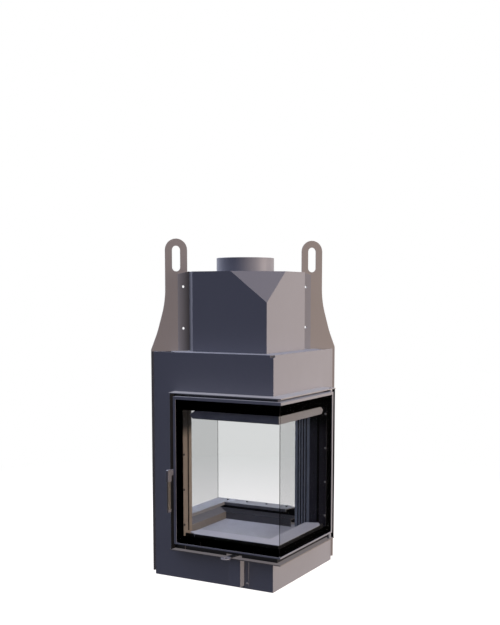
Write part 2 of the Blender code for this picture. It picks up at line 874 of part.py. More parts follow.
def make_beam(name, turned_round):
    """Air channel above the window, hung on the seat, with noses at its ends."""
    bm = bmesh.new()
    back_q = seat_in_q - touch
    top_z = beam_low_z + beam_front_height
    back_top_z = upper_lip_z - upper_seat_height + beam_back_overlap
    floor_z = beam_low_z + beam_sheet
    profile = [
        (beam_outer_q, beam_low_z), (beam_outer_q, top_z), (beam_outer_q - beam_sheet, top_z),
        (beam_outer_q - beam_sheet, floor_z), (back_q, floor_z), (back_q, back_top_z),
        (back_q - beam_sheet, back_top_z), (back_q - beam_sheet, beam_low_z),
    ]
    corner_bar(bm, profile, beam_nose_reach + overrun)
    nose_z = beam_low_z + beam_nose_rise
    for end_reach, end_z in ((beam_top_reach, top_z), (beam_low_reach, beam_low_z)):
        along = Vector((end_reach - beam_nose_reach, 0, end_z - nose_z))
        rise = 1 if end_z > nose_z else -1
        normal = Vector((-abs(along.z), 0, rise * abs(along.x)))
        point = Vector((-beam_nose_reach, 0, nose_z))
        trim(bm, point, normal)
        trim(bm, (0, beam_nose_reach, nose_z), (0, -normal.x, normal.z))
    if turned_round:
        turn_half_round(bm)
    finish(name, bm, "dark_steel")


def across_corner(bm):
    """Mirror a mesh to the other side of the glass corner."""
    for vertex in bm.verts:
        vertex.co = Vector((-vertex.co.y, -vertex.co.x, vertex.co.z))


def make_jamb(name, on_side, turned_round):
    """Bent plate that finishes one upright side of a window."""
    bm = bmesh.new()
    path = [(-jamb_reach, -jamb_front_q), (-jamb_reach, -seat_q)]
    path += [(-reach, -q) for reach, q in chamber_side()]
    seal_span = seal_inset + seal_height + seal_clearance
    levels = [lip_top_z + touch, door_low_z + seal_span, door_high_z - seal_span, upper_lip_z - touch]
    cell_sheet(bm, path, offset_path(path, jamb_sheet), levels, {(0, 0), (0, 2)})
    if on_side:
        across_corner(bm)
    if turned_round:
        turn_half_round(bm)
    finish(name, bm, "lining")


def make_lining(name, side):
    """Ribbed plate across a post corner, standing on the hearth floor."""
    bm = bmesh.new()
    groove_span = groove_pitch * (groove_count - 1)
    outline = [(-lining_half_width, lining_s)]
    for centre in spaced(-groove_span / 2, groove_span / 2, groove_count):
        low_n = centre - groove_width / 2
        high_n = centre + groove_width / 2
        depth_s = lining_s + groove_depth
        outline += [(low_n, lining_s), (low_n, depth_s), (high_n, depth_s), (high_n, lining_s)]
    back_s = lining_s + lining_thickness
    outline += [(lining_half_width, lining_s), (lining_half_width, back_s),
                (-lining_half_width, back_s)]
    low_z = floor_top_z + touch

    def place(n, s, w):
        return ((side * s + n) / root_two, (side * s - n) / root_two, low_z + w)

    prism(bm, outline, place, lining_top_z - low_z)
    finish(name, bm, "lining")


def make_lip(bm, low_z, holes):
    """Level plate of the surround, from the casing to the rim's front edge."""
    inner_q = half_width + touch
    wall_end = (-(rim_reach + lip_wall_overhang), -inner_q)
    front_end = (-(rim_reach + lip_front_overhang), -face_q)
    outline = [wall_end, front_end, (face_q, -face_q)]
    outline += mirrored([front_end, wall_end]) + [(inner_q, -inner_q)]
    prism(bm, outline, plan(low_z), surround_sheet, holes)


def make_surround_level(name, upper, turned_round, with_lever):
    """Upper or lower lip with its seat for the door's seal."""
    lip = bmesh.new()
    seat = bmesh.new()
    holes = [circle((hinge_x, hinge_y), pin_radius + running_gap, round_sides)]
    if with_lever:
        holes.append(circle((lever_axis_x, -lever_axis_q), rod_radius + running_gap, round_sides))
    notch = (lever_axis_x - lever_seat_notch_half, lever_axis_x + lever_seat_notch_half)
    stations = [-seat_start, notch[0], notch[1]]
    if upper:
        make_lip(lip, upper_lip_z, holes)
        levels = [upper_lip_z - upper_seat_height, upper_lip_z + weld_depth]
    else:
        make_lip(lip, lip_underside_z, holes)
        levels = [lip_top_z - weld_depth, lip_top_z + lever_seat_notch_height, sill_low_z - touch]
    missing = {(1, 0)} if with_lever else set()
    cell_sheet(seat, corner_path(seat_q, stations), corner_path(seat_in_q, stations), levels, missing)
    surround = fuse([lip, seat])
    if turned_round:
        turn_half_round(surround)
    finish(name, surround, "steel")


def make_surround_upright(name, on_side, turned_round):
    """Rim plate beside the door with its seat, between the two lips."""
    bm = bmesh.new()
    seat_end = jamb_reach + jamb_sheet + touch
    outline = [
        (-rim_reach, -(half_width + touch)), (-window_reach, -(half_width + touch)),
        (-window_reach, -seat_in_q), (-seat_end, -seat_in_q), (-seat_end, -seat_q),
        (-window_reach, -seat_q), (-window_reach, -face_q), (-rim_reach, -face_q),
    ]
    low_z = lip_top_z + touch
    prism(bm, outline, plan(low_z), upper_lip_z - touch - low_z)
    if on_side:
        across_corner(bm)
    if turned_round:
        turn_half_round(bm)
    finish(name, bm, "steel")


def make_bushes(prefix, turned_round):
    """Short bushes on the lips, which the door's hinge pins turn in."""
    inner = pin_radius + running_gap
    clear = 2 * touch + pin_flange_height
    for place, low_z, high_z in (("lower", lip_top_z + touch, door_low_z - clear),
                                 ("upper", door_high_z + clear, upper_lip_z - touch)):
        bm = bmesh.new()
        profile = [(bush_radius, low_z), (bush_radius, high_z), (inner, high_z), (inner, low_z)]
        turned(bm, profile, (hinge_x, hinge_y, 0), (0, 0, 1), round_sides)
        if turned_round:
            turn_half_round(bm)
        finish(prefix + "_hinge_bush_" + place, bm, "bright_steel", smooth=True)


def bar_profile(low_z, inward, width):
    """(q, z) section of a door rail: wall at low_z, flange rising by inward (1 or -1)."""
    wall_z = low_z + inward * bar_wall
    flange_z = low_z + inward * width
    return [(bar_back_q, low_z), (door_q, low_z), (door_q, flange_z), (bar_face_q, flange_z),
            (bar_face_q, wall_z), (bar_back_q, wall_z)]


def make_door_frame(name, carrier, turned_round):
    """Welded angle-section frame: two rails round the glass corner and two uprights."""
    bars = []
    for low_z, inward, width in ((door_low_z, 1, low_bar_width), (door_high_z, -1, bar_width)):
        rail = bmesh.new()
        corner_bar(rail, bar_profile(low_z, inward, width), door_reach)
        bars.append(rail)
    outline = [(x, -q) for x, q in (
        (-door_reach, bar_back_q), (-door_reach, door_q), (-door_reach + bar_width, door_q),
        (-door_reach + bar_width, bar_face_q), (-door_reach + bar_wall, bar_face_q),
        (-door_reach + bar_wall, bar_back_q))]
    for on_side in (False, True):
        bar = bmesh.new()
        prism(bar, outline, plan(door_low_z), door_high_z - door_low_z)
        if on_side:
            across_corner(bar)
        bars.append(bar)
    drill = bmesh.new()
    radius = pivot_radius + touch
    profile = [(0, -bar_wall), (radius, -bar_wall), (radius, bar_wall), (0, bar_wall)]
    turned(drill, profile, (-door_reach + bar_wall / 2, pivot_y, pivot_z), (1, 0, 0), round_sides)
    frame = fuse(bars, drill)
    if turned_round:
        turn_half_round(frame)
    finish(name, frame, "black_steel", carrier)


def make_pane(name, carrier, on_side, turned_round):
    bm = bmesh.new()
    outline = [(-pane_reach, -glass_in_q), (-pane_reach, -glass_out_q),
               (glass_out_q - glass_seam, -glass_out_q), (glass_in_q - glass_seam, -glass_in_q)]
    prism(bm, outline, plan(pane_low_z), pane_high_z - pane_low_z)
    if on_side:
        across_corner(bm)
    if turned_round:
        turn_half_round(bm)
    finish(name, bm, "glass", carrier)


def make_seal(name, carrier, turned_round):
    """Rope seal behind the glass, which closes against the seat."""
    half_height = seal_height / 2
    ring = circle((0, 0), 1, seal_sides)
    low_z = door_low_z + seal_inset + half_height
    high_z = door_high_z - seal_inset - half_height
    runs = []
    for z in (low_z, high_z):
        run = bmesh.new()
        profile = [(seal_mid_q + u * seal_depth / 2, z + v * half_height) for u, v in ring]
        corner_bar(run, profile, door_reach - seal_inset)
        runs.append(run)
    x = -(door_reach - seal_inset - half_height)
    depth = seal_depth / 2 - weld_depth
    outline = [(x + u * half_height, -seal_mid_q + v * depth) for u, v in ring]
    for points in (outline, mirrored(outline)):
        run = bmesh.new()
        prism(run, points, plan(low_z), high_z - low_z)
        runs.append(run)
    seal = fuse(runs)
    if turned_round:
        turn_half_round(seal)
    finish(name, seal, "seal", carrier, smooth=True)


def make_hinge_pins(name, carrier, turned_round):
    lower = (door_low_z - touch, lip_underside_z - pin_past_lip, -pin_flange_height)
    upper = (door_high_z + touch, upper_lip_z + surround_sheet + pin_past_lip, pin_flange_height)
    for place, (start, end, step) in (("lower", lower), ("upper", upper)):
        bm = bmesh.new()
        profile = [(0, start), (pin_flange_radius, start), (pin_flange_radius, start + step),
                   (pin_radius, start + step), (pin_radius, end), (0, end)]
        turned(bm, profile, (hinge_x, hinge_y, 0), (0, 0, 1), round_sides)
        if turned_round:
            turn_half_round(bm)
        finish(name + "_" + place, bm, "bright_steel", carrier, smooth=True)


def make_handle(prefix, door, carrier, turned_round):
    """Lever on its pivot beside the latch upright, with a hanging grip and its end cap."""
    side_x = handle_x - handle_width / 2
    lever = bmesh.new()
    eye = (-pivot_y, pivot_z)
    eye_radius = handle_arm_height / 2
    block_low_z = handle_top_z - handle_block_height
    arm_top_z = handle_top_z - handle_arm_drop
    arm_low_z = arm_top_z - handle_arm_height
    front = -handle_y
    back = -handle_back_y
    rounding = (front - edge_round, handle_top_z - edge_round)
    outline = arc(eye, eye_radius, math.pi * 1.5, math.pi / 2, eye_steps)
    outline += [(back, arm_top_z), (back, handle_top_z)]
    outline += arc(rounding, edge_round, math.pi / 2, 0, edge_steps)
    outline += [(front, block_low_z), (back, block_low_z), (back, arm_low_z)]
    hole = circle(eye, pivot_radius + running_gap, round_sides)
    prism(lever, outline, upright((side_x, 0), (0, -1), (1, 0)), handle_width, [hole])

    grip = bmesh.new()
    grip_y = (handle_y + handle_back_y) / 2
    grip_top_z = block_low_z - touch
    grip_low_z = grip_top_z - grip_length
    prism(grip, rounded_bar(handle_x, grip_y, grip_width, grip_depth), plan(grip_low_z), grip_length)
    cap = bmesh.new()
    cap_outline = rounded_bar(handle_x, grip_y, cap_width, cap_depth)
    prism(cap, cap_outline, plan(grip_low_z - cap_height), cap_height + weld_depth)
    grip = fuse([grip, cap])

    pivot = bmesh.new()
    outer_x = side_x
    inner_x = -door_reach + bar_wall - touch
    profile = [(0, 0), (pivot_radius, 0), (pivot_radius, inner_x - outer_x), (0, inner_x - outer_x)]
    turned(pivot, profile, (outer_x, pivot_y, pivot_z), (1, 0, 0), round_sides)

    for bm in (lever, grip, pivot):
        if turned_round:
            turn_half_round(bm)
    finish(prefix + "_handle_lever", lever, "steel", carrier)
    finish(prefix + "_handle_grip", grip, "steel", carrier, smooth=True)
    finish(prefix + "_handle_pivot", pivot, "bright_steel", door, smooth=True)


def rounded_bar(x, y, width, depth):
    """Plan section of a bar with half-round front and back edges."""
    radius = width / 2
    reach = depth / 2 - radius
    return (arc((x, y - reach), radius, math.pi, 2 * math.pi, grip_steps)
            + arc((x, y + reach), radius, 0, math.pi, grip_steps))


def lever_point(distance, side_step=0):
    """Plan point at a distance out from the lever's axis, along the lever at rest."""
    direction = Vector((math.sin(lever_rest_angle), -math.cos(lever_rest_angle)))
    across = Vector((-direction.y, direction.x))
    point = Vector((lever_axis_x, -lever_axis_q)) + direction * distance + across * side_step
    return (point.x, point.y)


def link_outline(near_radius, far_radius, width, length):
    """Flat link along the lever's line: a round hub, a straight arm and a round end."""
    sign = 1 if length > 0 else -1
    near = math.asin(width / 2 / near_radius)
    far = math.asin(width / 2 / far_radius)
    hub = arc((0, 0), near_radius, near, 2 * math.pi - near, link_arc_steps)
    end = arc((0, 0), far_radius, far - math.pi, math.pi - far, link_arc_steps)
    points = [(u * sign, v) for u, v in hub] + [(length + u * sign, v) for u, v in end]
    return [lever_point(u, v) for u, v in points]


def make_air_control(turner, slider):
    """Ring lever on the lower lip, its rod and crank, and the damper that the crank moves."""
    lever = bmesh.new()
    low_z = lip_top_z + touch
    axis = (lever_axis_x, -lever_axis_q)
    holes = [circle(axis, rod_radius + touch, round_sides),
             circle(lever_point(lever_ring_distance), lever_hole_radius, round_sides)]
    outline = link_outline(lever_hub_radius, lever_ring_radius, lever_arm_width, lever_ring_distance)
    prism(lever, outline, plan(low_z), lever_sheet, holes)
    finish("air_lever", lever, "steel", turner)

    rod = bmesh.new()
    head_z = low_z + lever_sheet + touch
    crank_top_z = crank_underside_z + crank_sheet
    foot_z = crank_underside_z - touch
    collar_z = foot_z - rod_head_height
    profile = [(0, collar_z), (rod_head_radius, collar_z), (rod_head_radius, foot_z),
               (rod_radius, foot_z), (rod_radius, head_z), (rod_head_radius, head_z),
               (rod_head_radius, head_z + rod_head_height), (0, head_z + rod_head_height)]
    turned(rod, profile, (*axis, 0), (0, 0, 1), round_sides)
    pin_place = lever_point(-crank_length)
    hub_radius = crank_width * crank_hub_share
    outline = link_outline(hub_radius, hub_radius, crank_width, -crank_length)
    crank = bmesh.new()
    prism(crank, outline, plan(crank_underside_z), crank_sheet)
    pin_top = crank_top_z - weld_depth
    pin = bmesh.new()
    profile = [(0, damper_low_z + touch), (crank_pin_radius, damper_low_z + touch),
               (crank_pin_radius, pin_top), (crank_pin_head_radius, pin_top),
               (crank_pin_head_radius, pin_top + rod_head_height), (0, pin_top + rod_head_height)]
    turned(pin, profile, (*pin_place, 0), (0, 0, 1), round_sides)
    finish("air_rod", fuse([rod, crank, pin]), "bright_steel", turner, smooth=True)

    damper = bmesh.new()
    centre_y, width, depth = damper_size()
    open_shift = crank_length * crank_swing_share + crank_length * math.sin(lever_rest_angle)
    holes = []
    for side in (-1, 1):
        x = lever_axis_x + side * air_slot_pitch / 2 - open_shift
        holes.append(rectangle(x, -air_slot_q, air_slot_width, air_slot_length))
    holes.append(rectangle(pin_place[0], crank_slot_y(), crank_slot_width, crank_slot_length))
    outline = rectangle(lever_axis_x, centre_y, width, depth)
    prism(damper, outline, plan(damper_low_z), damper_sheet, holes)
    finish("air_damper", damper, "bright_steel", slider)


def crank_slot_y():
    """Middle of the crank pin's path, front to back, over its swing."""
    shortest_share = math.sqrt(1 - crank_swing_share ** 2)
    return -lever_axis_q + crank_length * (1 + shortest_share) / 2


def damper_size():
    """Middle of the damper front to back, its width and its depth."""
    width = air_slot_pitch + air_slot_width + 2 * damper_margin_x + crank_length * crank_swing_share
    front_y = crank_slot_y() - crank_slot_length / 2 - damper_margin_front
    back_y = -air_slot_q + air_slot_length / 2 + damper_margin_back
    return (front_y + back_y) / 2, width, back_y - front_y


def make_rod_cover():
    """Hat-section cover in front of the rod, under the lower lip."""
    bm = bmesh.new()
    wall_y = -(half_width + touch)
    flange_y = wall_y - cover_sheet
    front_y = -(half_width + cover_stand_out)
    half = cover_width / 2
    edge = half + cover_flange
    right = [(edge, wall_y), (edge, flange_y), (half, flange_y), (half, front_y)]
    inner = [(half - cover_sheet, front_y + cover_sheet), (half - cover_sheet, wall_y)]
    outline = [(lever_axis_x + x, y) for x, y in right]
    outline += [(lever_axis_x - x, y) for x, y in reversed(right)]
    outline += [(lever_axis_x - x, y) for x, y in reversed(inner)]
    outline += [(lever_axis_x + x, y) for x, y in inner]
    prism(bm, outline, plan(cover_low_z), lip_underside_z - touch - cover_low_z)
    finish("air_rod_cover", bm, "steel")


def make_baffle():
    plate = bmesh.new()
    outline = cut_square(baffle_half, baffle_corner_s * root_two, 2 * baffle_half)
    prism(plate, outline, plan(baffle_low_z), baffle_thickness)
    finish("smoke_baffle", plate, "lining")

    wall_q = wall_in_q - touch
    top_z = baffle_low_z - touch
    profile = [(wall_q, top_z), (wall_q, top_z - rail_height), (wall_q - rail_sheet, top_z - rail_height),
               (wall_q - rail_sheet, top_z - rail_sheet), (wall_q - rail_reach, top_z - rail_sheet),
               (wall_q - rail_reach, top_z)]
    for name, side in (("left", -1), ("right", 1)):
        rail = bmesh.new()
        prism(rail, profile, upright((0, -rail_length / 2), (side, 0), (0, 1)), rail_length)
        finish("baffle_rail_" + name, rail, "dark_steel")


def make_door(prefix, turned_round):
    sign = -1 if turned_round else 1
    hinge = make_carrier(prefix + "_door_axis", (sign * hinge_x, sign * hinge_y, pivot_z))
    handle_place = (sign * handle_x, sign * pivot_y, pivot_z)
    handle_axis = make_carrier(prefix + "_handle_axis", handle_place, hinge)
    make_door_frame(prefix + "_door_frame", hinge, turned_round)
    make_pane(prefix + "_door_wide_glass", hinge, False, turned_round)
    make_pane(prefix + "_door_side_glass", hinge, True, turned_round)
    make_seal(prefix + "_door_seal", hinge, turned_round)
    make_hinge_pins(prefix + "_hinge_pin", hinge, turned_round)
    make_handle(prefix, hinge, handle_axis, turned_round)


def make_corner_set(prefix, turned_round):
    """Everything that one glass corner has besides its door."""
    is_front = not turned_round
    make_bushes(prefix, turned_round)
    make_casing("casing_" + prefix, turned_round, is_front)
    make_hood("hood_" + prefix, turned_round)
    make_kerb("kerb_" + prefix, turned_round)
    make_sill("sill_" + prefix, turned_round)
    make_beam("air_beam_" + prefix, turned_round)
    make_surround_level("surround_top_" + prefix, True, turned_round, False)
    make_surround_level("surround_bottom_" + prefix, False, turned_round, is_front)
    for on_side, place in ((False, "latch"), (True, "hinge")):
        make_jamb("jamb_" + prefix + "_" + place, on_side, turned_round)
        make_surround_upright("surround_" + place + "_side_" + prefix, on_side, turned_round)


def main():
    for old in list(bpy.data.objects):
        bpy.data.objects.remove(old)
    make_base_plate()
    make_deck()
    make_lifting_plate("lifting_plate_left", -1)
    make_lifting_plate("lifting_plate_right", 1)
    make_hood_top()
    make_collar()
    make_floor()
    make_lining("post_lining_left", -1)
    make_lining("post_lining_right", 1)
    make_baffle()
    for prefix, turned_round in (("front", False), ("rear", True)):
        make_corner_set(prefix, turned_round)
        make_door(prefix, turned_round)
    make_rod_cover()
    turner = make_carrier("air_lever_axis", (lever_axis_x, -lever_axis_q, lip_top_z))
    slider = make_carrier("air_damper_axis", (lever_axis_x, damper_size()[0], damper_low_z))
    make_air_control(turner, slider)


main()
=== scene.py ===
import json
import math

import bmesh
import bpy
from mathutils import Matrix, Vector


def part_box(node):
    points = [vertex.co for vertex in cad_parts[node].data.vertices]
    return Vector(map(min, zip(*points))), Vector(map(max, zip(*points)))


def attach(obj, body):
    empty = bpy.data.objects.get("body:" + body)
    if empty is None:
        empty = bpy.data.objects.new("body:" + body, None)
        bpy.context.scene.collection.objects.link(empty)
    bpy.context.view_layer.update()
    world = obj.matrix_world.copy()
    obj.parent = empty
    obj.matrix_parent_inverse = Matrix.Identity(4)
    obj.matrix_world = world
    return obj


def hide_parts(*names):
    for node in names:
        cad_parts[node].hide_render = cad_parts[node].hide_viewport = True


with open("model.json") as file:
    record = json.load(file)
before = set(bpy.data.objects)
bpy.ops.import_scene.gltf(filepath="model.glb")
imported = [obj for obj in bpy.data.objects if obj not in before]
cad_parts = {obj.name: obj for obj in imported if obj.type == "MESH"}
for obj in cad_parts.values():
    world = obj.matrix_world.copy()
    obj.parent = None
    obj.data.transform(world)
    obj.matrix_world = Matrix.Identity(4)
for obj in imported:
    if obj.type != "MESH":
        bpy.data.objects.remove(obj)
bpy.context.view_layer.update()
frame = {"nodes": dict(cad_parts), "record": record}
cadNodes = frame["nodes"]
bodyOf = {n: b for b, names in frame["record"]["behaviour"]["bodies"].items() for n in names}
slotOf = {s["node"]: s["material_slot"] for s in frame["record"]["subparts"]}
print("frame loaded:", len(cadNodes), "nodes")

# Camera at the photograph's place, found from the corners of the square casing
cameraView = {
    "place": (1.6453, -2.9529, 0.9699),
    "yaw": math.radians(28.85),
    "pitch": math.radians(6.20),
    "lens": 55.37,
    "shiftUp": 0.14,
}


def placeCamera(spec):
    yaw, pitch = spec["yaw"], spec["pitch"]
    level = math.cos(pitch)
    back = Vector((math.sin(yaw) * level, -math.cos(yaw) * level, math.sin(pitch)))
    right = Vector((math.cos(yaw), math.sin(yaw), 0))
    turn = Matrix((right, back.cross(right), back)).transposed()
    data = bpy.data.cameras.new("camera")
    data.lens = spec["lens"]
    data.shift_y = spec["shiftUp"]
    camera = bpy.data.objects.new("camera", data)
    camera.matrix_world = Matrix.Translation(spec["place"]) @ turn.to_4x4()
    bpy.context.scene.collection.objects.link(camera)
    bpy.context.scene.camera = camera


placeCamera(cameraView)
bpy.context.scene.view_settings.view_transform = "Standard"


# Colours are written as sRGB hex values
def linear(hexColour):
    channels = [int(hexColour[i:i + 2], 16) / 255 for i in (0, 2, 4)]
    return tuple(c / 12.92 if c <= 0.04045 else ((c + 0.055) / 1.055) ** 2.4
                 for c in channels) + (1,)


# A node with its settings: a property by its name, an input by its name or number, and an
# input takes a value or the output of another node
def addNode(tree, kind, settings=None):
    node = tree.nodes.new(kind)
    for key, value in (settings or {}).items():
        if isinstance(value, bpy.types.NodeSocket):
            tree.links.new(value, node.inputs[key])
        elif isinstance(key, str) and hasattr(node, key):
            setattr(node, key, value)
        else:
            node.inputs[key].default_value = value
    return node


def newMaterial(name, colour, roughness, metallic=0.0, specular=0.5):
    material = bpy.data.materials.new(name)
    material.use_nodes = True
    shader = material.node_tree.nodes["Principled BSDF"]
    shader.inputs["Base Color"].default_value = linear(colour)
    shader.inputs["Roughness"].default_value = roughness
    shader.inputs["Metallic"].default_value = metallic
    shader.inputs["Specular IOR Level"].default_value = specular
    material.diffuse_color = linear(colour)
    return material


def paintWith(material, colour):
    shader = material.node_tree.nodes["Principled BSDF"]
    material.node_tree.links.new(colour, shader.inputs["Base Color"])


def distanceOnPlan(tree, centre):
    place = addNode(tree, "ShaderNodeTexCoord").outputs["Object"]
    flat = addNode(tree, "ShaderNodeVectorMath", {"operation": "MULTIPLY", 0: place, 1: (1, 1, 0)})
    away = addNode(tree, "ShaderNodeVectorMath",
                   {"operation": "DISTANCE", 0: flat.outputs[0], 1: centre})
    return away.outputs["Value"]


# Distances from the middle of the unit, front and rear alike
def absolutePlace(tree):
    place = addNode(tree, "ShaderNodeTexCoord").outputs["Object"]
    spread = addNode(tree, "ShaderNodeVectorMath", {"operation": "ABSOLUTE", 0: place})
    return addNode(tree, "ShaderNodeSeparateXYZ", {0: spread.outputs[0]}).outputs


# Surfaces: sheen, size of the grain, height of its relief, and how far the roughness drifts.
# Sprayed paint, flakes and plait have their real size. Mould sand, cement, the grip's sleeve
# and bare or plated steel have a finer grain, drawn this coarse so that it shows
surfaces = {
    # Satin heat-resistant paint, sprayed on sheet steel: an even, slightly open sheen
    "satinPaint": {"roughness": 0.42, "specular": 0.14,
                   "grain": 0.0016, "relief": 0.00002, "drift": (0.38, 0.48)},
    # The same paint where it has seen the fire: duller and rougher
    "firedPaint": {"roughness": 0.66, "specular": 0.10,
                   "grain": 0.0018, "relief": 0.00003, "drift": (0.60, 0.74)},
    # Matt heat-resistant paint: no shine
    "mattPaint": {"roughness": 0.70, "specular": 0.04,
                  "grain": 0.0018, "relief": 0.00003, "drift": (0.56, 0.70)},
    # Cast iron with the grain of its sand mould: dull
    "sandCast": {"roughness": 0.74, "specular": 0.12,
                 "grain": 0.0024, "relief": 0.00010, "drift": (0.64, 0.78)},
    # Brushed steel, kept bare: a low, broad shine
    "brushedSteel": {"roughness": 0.38, "specular": 0.26,
                     "grain": 0.0008, "relief": 0.00001, "drift": (0.34, 0.44)},
    # Heat-proof sleeve of a grip: nearly matt
    "gripSleeve": {"roughness": 0.58, "specular": 0.18,
                   "grain": 0.0012, "relief": 0.00002, "drift": (0.50, 0.62)},
    # Blackened steel of small screws: dark with a dull shine
    "blackenedSteel": {"roughness": 0.50, "specular": 0.20,
                       "grain": 0.0008, "relief": 0.00001, "drift": (0.40, 0.52)},
    # Zinc-plated turned steel: catches small bright lights
    "zincPlate": {"roughness": 0.45, "metallic": 0.75,
                  "grain": 0.0010, "relief": 0.00001, "drift": (0.30, 0.42)},
    # Fire-proof cement: dead matt
    "cement": {"roughness": 0.85, "specular": 0.10,
               "grain": 0.0015, "relief": 0.00003, "drift": (0.80, 0.90)},
    # Board of pressed flakes of about 4 mm
    "pressedBoard": {"roughness": 0.9, "specular": 0.2,
                     "grain": 0.004, "relief": 0.00015, "drift": (0.85, 0.95)},
    # Glass-fibre rope with a plait that repeats every 4 mm: soft
    "braid": {"roughness": 0.92, "specular": 0.15,
              "grain": 0.004, "relief": 0.0005, "drift": (0.88, 0.95)},
}
grainDetail = 3.0
driftNoise = {"scale": 14.0, "detail": 2.0, "low": 0.3, "high": 0.7}


# A surface in one colour: its grain is relief, and a slow noise makes its roughness drift
def surfaceIn(name, colour, surface):
    spec = surfaces[surface]
    material = newMaterial(name, colour, spec["roughness"], spec.get("metallic", 0.0),
                           spec.get("specular", 0.5))
    tree = material.node_tree
    shader = tree.nodes["Principled BSDF"]
    place = addNode(tree, "ShaderNodeTexCoord").outputs["Object"]
    grain = addNode(tree, "ShaderNodeTexNoise", {"name": "grain", "Scale": 1 / spec["grain"],
                                                 "Detail": grainDetail, "Vector": place})
    bump = addNode(tree, "ShaderNodeBump", {"Strength": 1.0, "Distance": spec["relief"],
                                            "Height": grain.outputs["Fac"]})
    tree.links.new(bump.outputs["Normal"], shader.inputs["Normal"])
    cloud = addNode(tree, "ShaderNodeTexNoise", {"Scale": driftNoise["scale"],
                                                 "Detail": driftNoise["detail"], "Vector": place})
    low, high = spec["drift"]
    rough = addNode(tree, "ShaderNodeMapRange", {
        "Value": cloud.outputs["Fac"], "From Min": driftNoise["low"],
        "From Max": driftNoise["high"], "To Min": low, "To Max": high})
    tree.links.new(rough.outputs["Result"], shader.inputs["Roughness"])
    return material


# A surface in two colours, one up to a height and the other above it
def surfaceByHeight(name, colour, surface, level, lowColour, highColour):
    material = surfaceIn(name, colour, surface)
    tree = material.node_tree
    place = addNode(tree, "ShaderNodeTexCoord").outputs["Object"]
    parts = addNode(tree, "ShaderNodeSeparateXYZ", {0: place}).outputs
    above = addNode(tree, "ShaderNodeMath", {"operation": "GREATER_THAN", 0: parts["Z"], 1: level})
    tint = addNode(tree, "ShaderNodeMix", {"data_type": "RGBA", 0: above.outputs[0],
                                           6: linear(lowColour), 7: linear(highColour)})
    paintWith(material, tint.outputs[2])
    return material


# Grey of the paint on most of the sheet
satinGrey = "7b7b7e"

# The hood's front half: satin paint, with painted shade in the corner beside the left flange
hoodCorner = {"root": (-0.1425, -0.1425, 0), "reach": 0.040, "cornerShade": "343539"}


def hoodPaint():
    material = surfaceIn("hoodPaint", satinGrey, "satinPaint")
    tree = material.node_tree
    away = distanceOnPlan(tree, hoodCorner["root"])
    share = addNode(tree, "ShaderNodeMapRange", {"Value": away, "From Max": hoodCorner["reach"]})
    tint = addNode(tree, "ShaderNodeMix", {"data_type": "RGBA", 0: share.outputs["Result"],
                                           6: linear(hoodCorner["cornerShade"]), 7: linear(satinGrey)})
    paintWith(material, tint.outputs[2])
    return material


# The rim round each door: satin paint on the outside, painted light on the upper lip, and painted
# shade on the lower lip and on the walls beside the door
doorRim = {
    "lipSheet": 0.0032,
    "upperLipLight": "8b8986", "upperWallShade": "404044",
    "lowerLipShade": "6a655f", "lowerWallShade": "1c1c1e", "lowerPaint": "666669",
    "uprightSkin": 0.0012,      # how far the outer paint reaches round the sheet's edge
    "uprightWallShade": "0d0d0f",
}


def upperRimPaint():
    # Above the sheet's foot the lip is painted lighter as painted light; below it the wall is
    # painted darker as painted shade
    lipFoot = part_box("surround_top_front")[1][2] - doorRim["lipSheet"]
    return surfaceByHeight("upperRimPaint", satinGrey, "satinPaint", lipFoot,
                           doorRim["upperWallShade"], doorRim["upperLipLight"])


def lowerRimPaint():
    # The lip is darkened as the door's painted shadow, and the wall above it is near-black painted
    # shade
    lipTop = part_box("surround_bottom_front")[0][2] + doorRim["lipSheet"]
    return surfaceByHeight("lowerRimPaint", doorRim["lowerPaint"], "satinPaint", lipTop,
                           doorRim["lowerLipShade"], doorRim["lowerWallShade"])


def uprightPaint():
    material = surfaceIn("uprightPaint", satinGrey, "satinPaint")
    tree = material.node_tree
    outside = -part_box("surround_latch_side_front")[0][0] - doorRim["uprightSkin"]
    parts = absolutePlace(tree)
    reach = addNode(tree, "ShaderNodeMath", {"operation": "MINIMUM", 0: parts["X"], 1: parts["Y"]})
    painted = addNode(tree, "ShaderNodeMath",
                      {"operation": "GREATER_THAN", 0: reach.outputs[0], 1: outside})
    # Inside the outer skin the upright is near-black: painted shade beside the door
    tint = addNode(tree, "ShaderNodeMix", {"data_type": "RGBA", 0: painted.outputs[0],
                                           6: linear(doorRim["uprightWallShade"]),
                                           7: linear(satinGrey)})
    paintWith(material, tint.outputs[2])
    return material


# The kerbs: satin paint in a darker grey that stands in for their shade, with a near-black painted
# shadow on the step under the sill of the wide pane
kerb = {"belowTop": 0.001, "wideArm": "646466", "step": "2c2c2f", "sideArm": "625f5d"}


def kerbPaint():
    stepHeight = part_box("kerb_front")[1][2] - kerb["belowTop"]
    material = surfaceByHeight("kerbPaint", kerb["wideArm"], "satinPaint", stepHeight,
                               kerb["wideArm"], kerb["step"])
    tree = material.node_tree
    wideArm = tree.nodes["Principled BSDF"].inputs["Base Color"].links[0].from_socket
    parts = absolutePlace(tree)
    # The side arm's step gets no painted shadow
    onSide = addNode(tree, "ShaderNodeMath",
                     {"operation": "GREATER_THAN", 0: parts["X"], 1: parts["Y"]})
    tint = addNode(tree, "ShaderNodeMix", {"data_type": "RGBA", 0: onSide.outputs[0],
                                           6: wideArm, 7: linear(kerb["sideArm"])})
    paintWith(material, tint.outputs[2])
    return material


# The sills: satin paint, the front sill painted lighter and the rear one darker as painted light
# and shade, and a near-black painted shadow on the drop that faces the pane
sillDrop = {"behindEdge": 0.002, "belowTop": 0.0015, "paintedShade": "0c0c0e"}


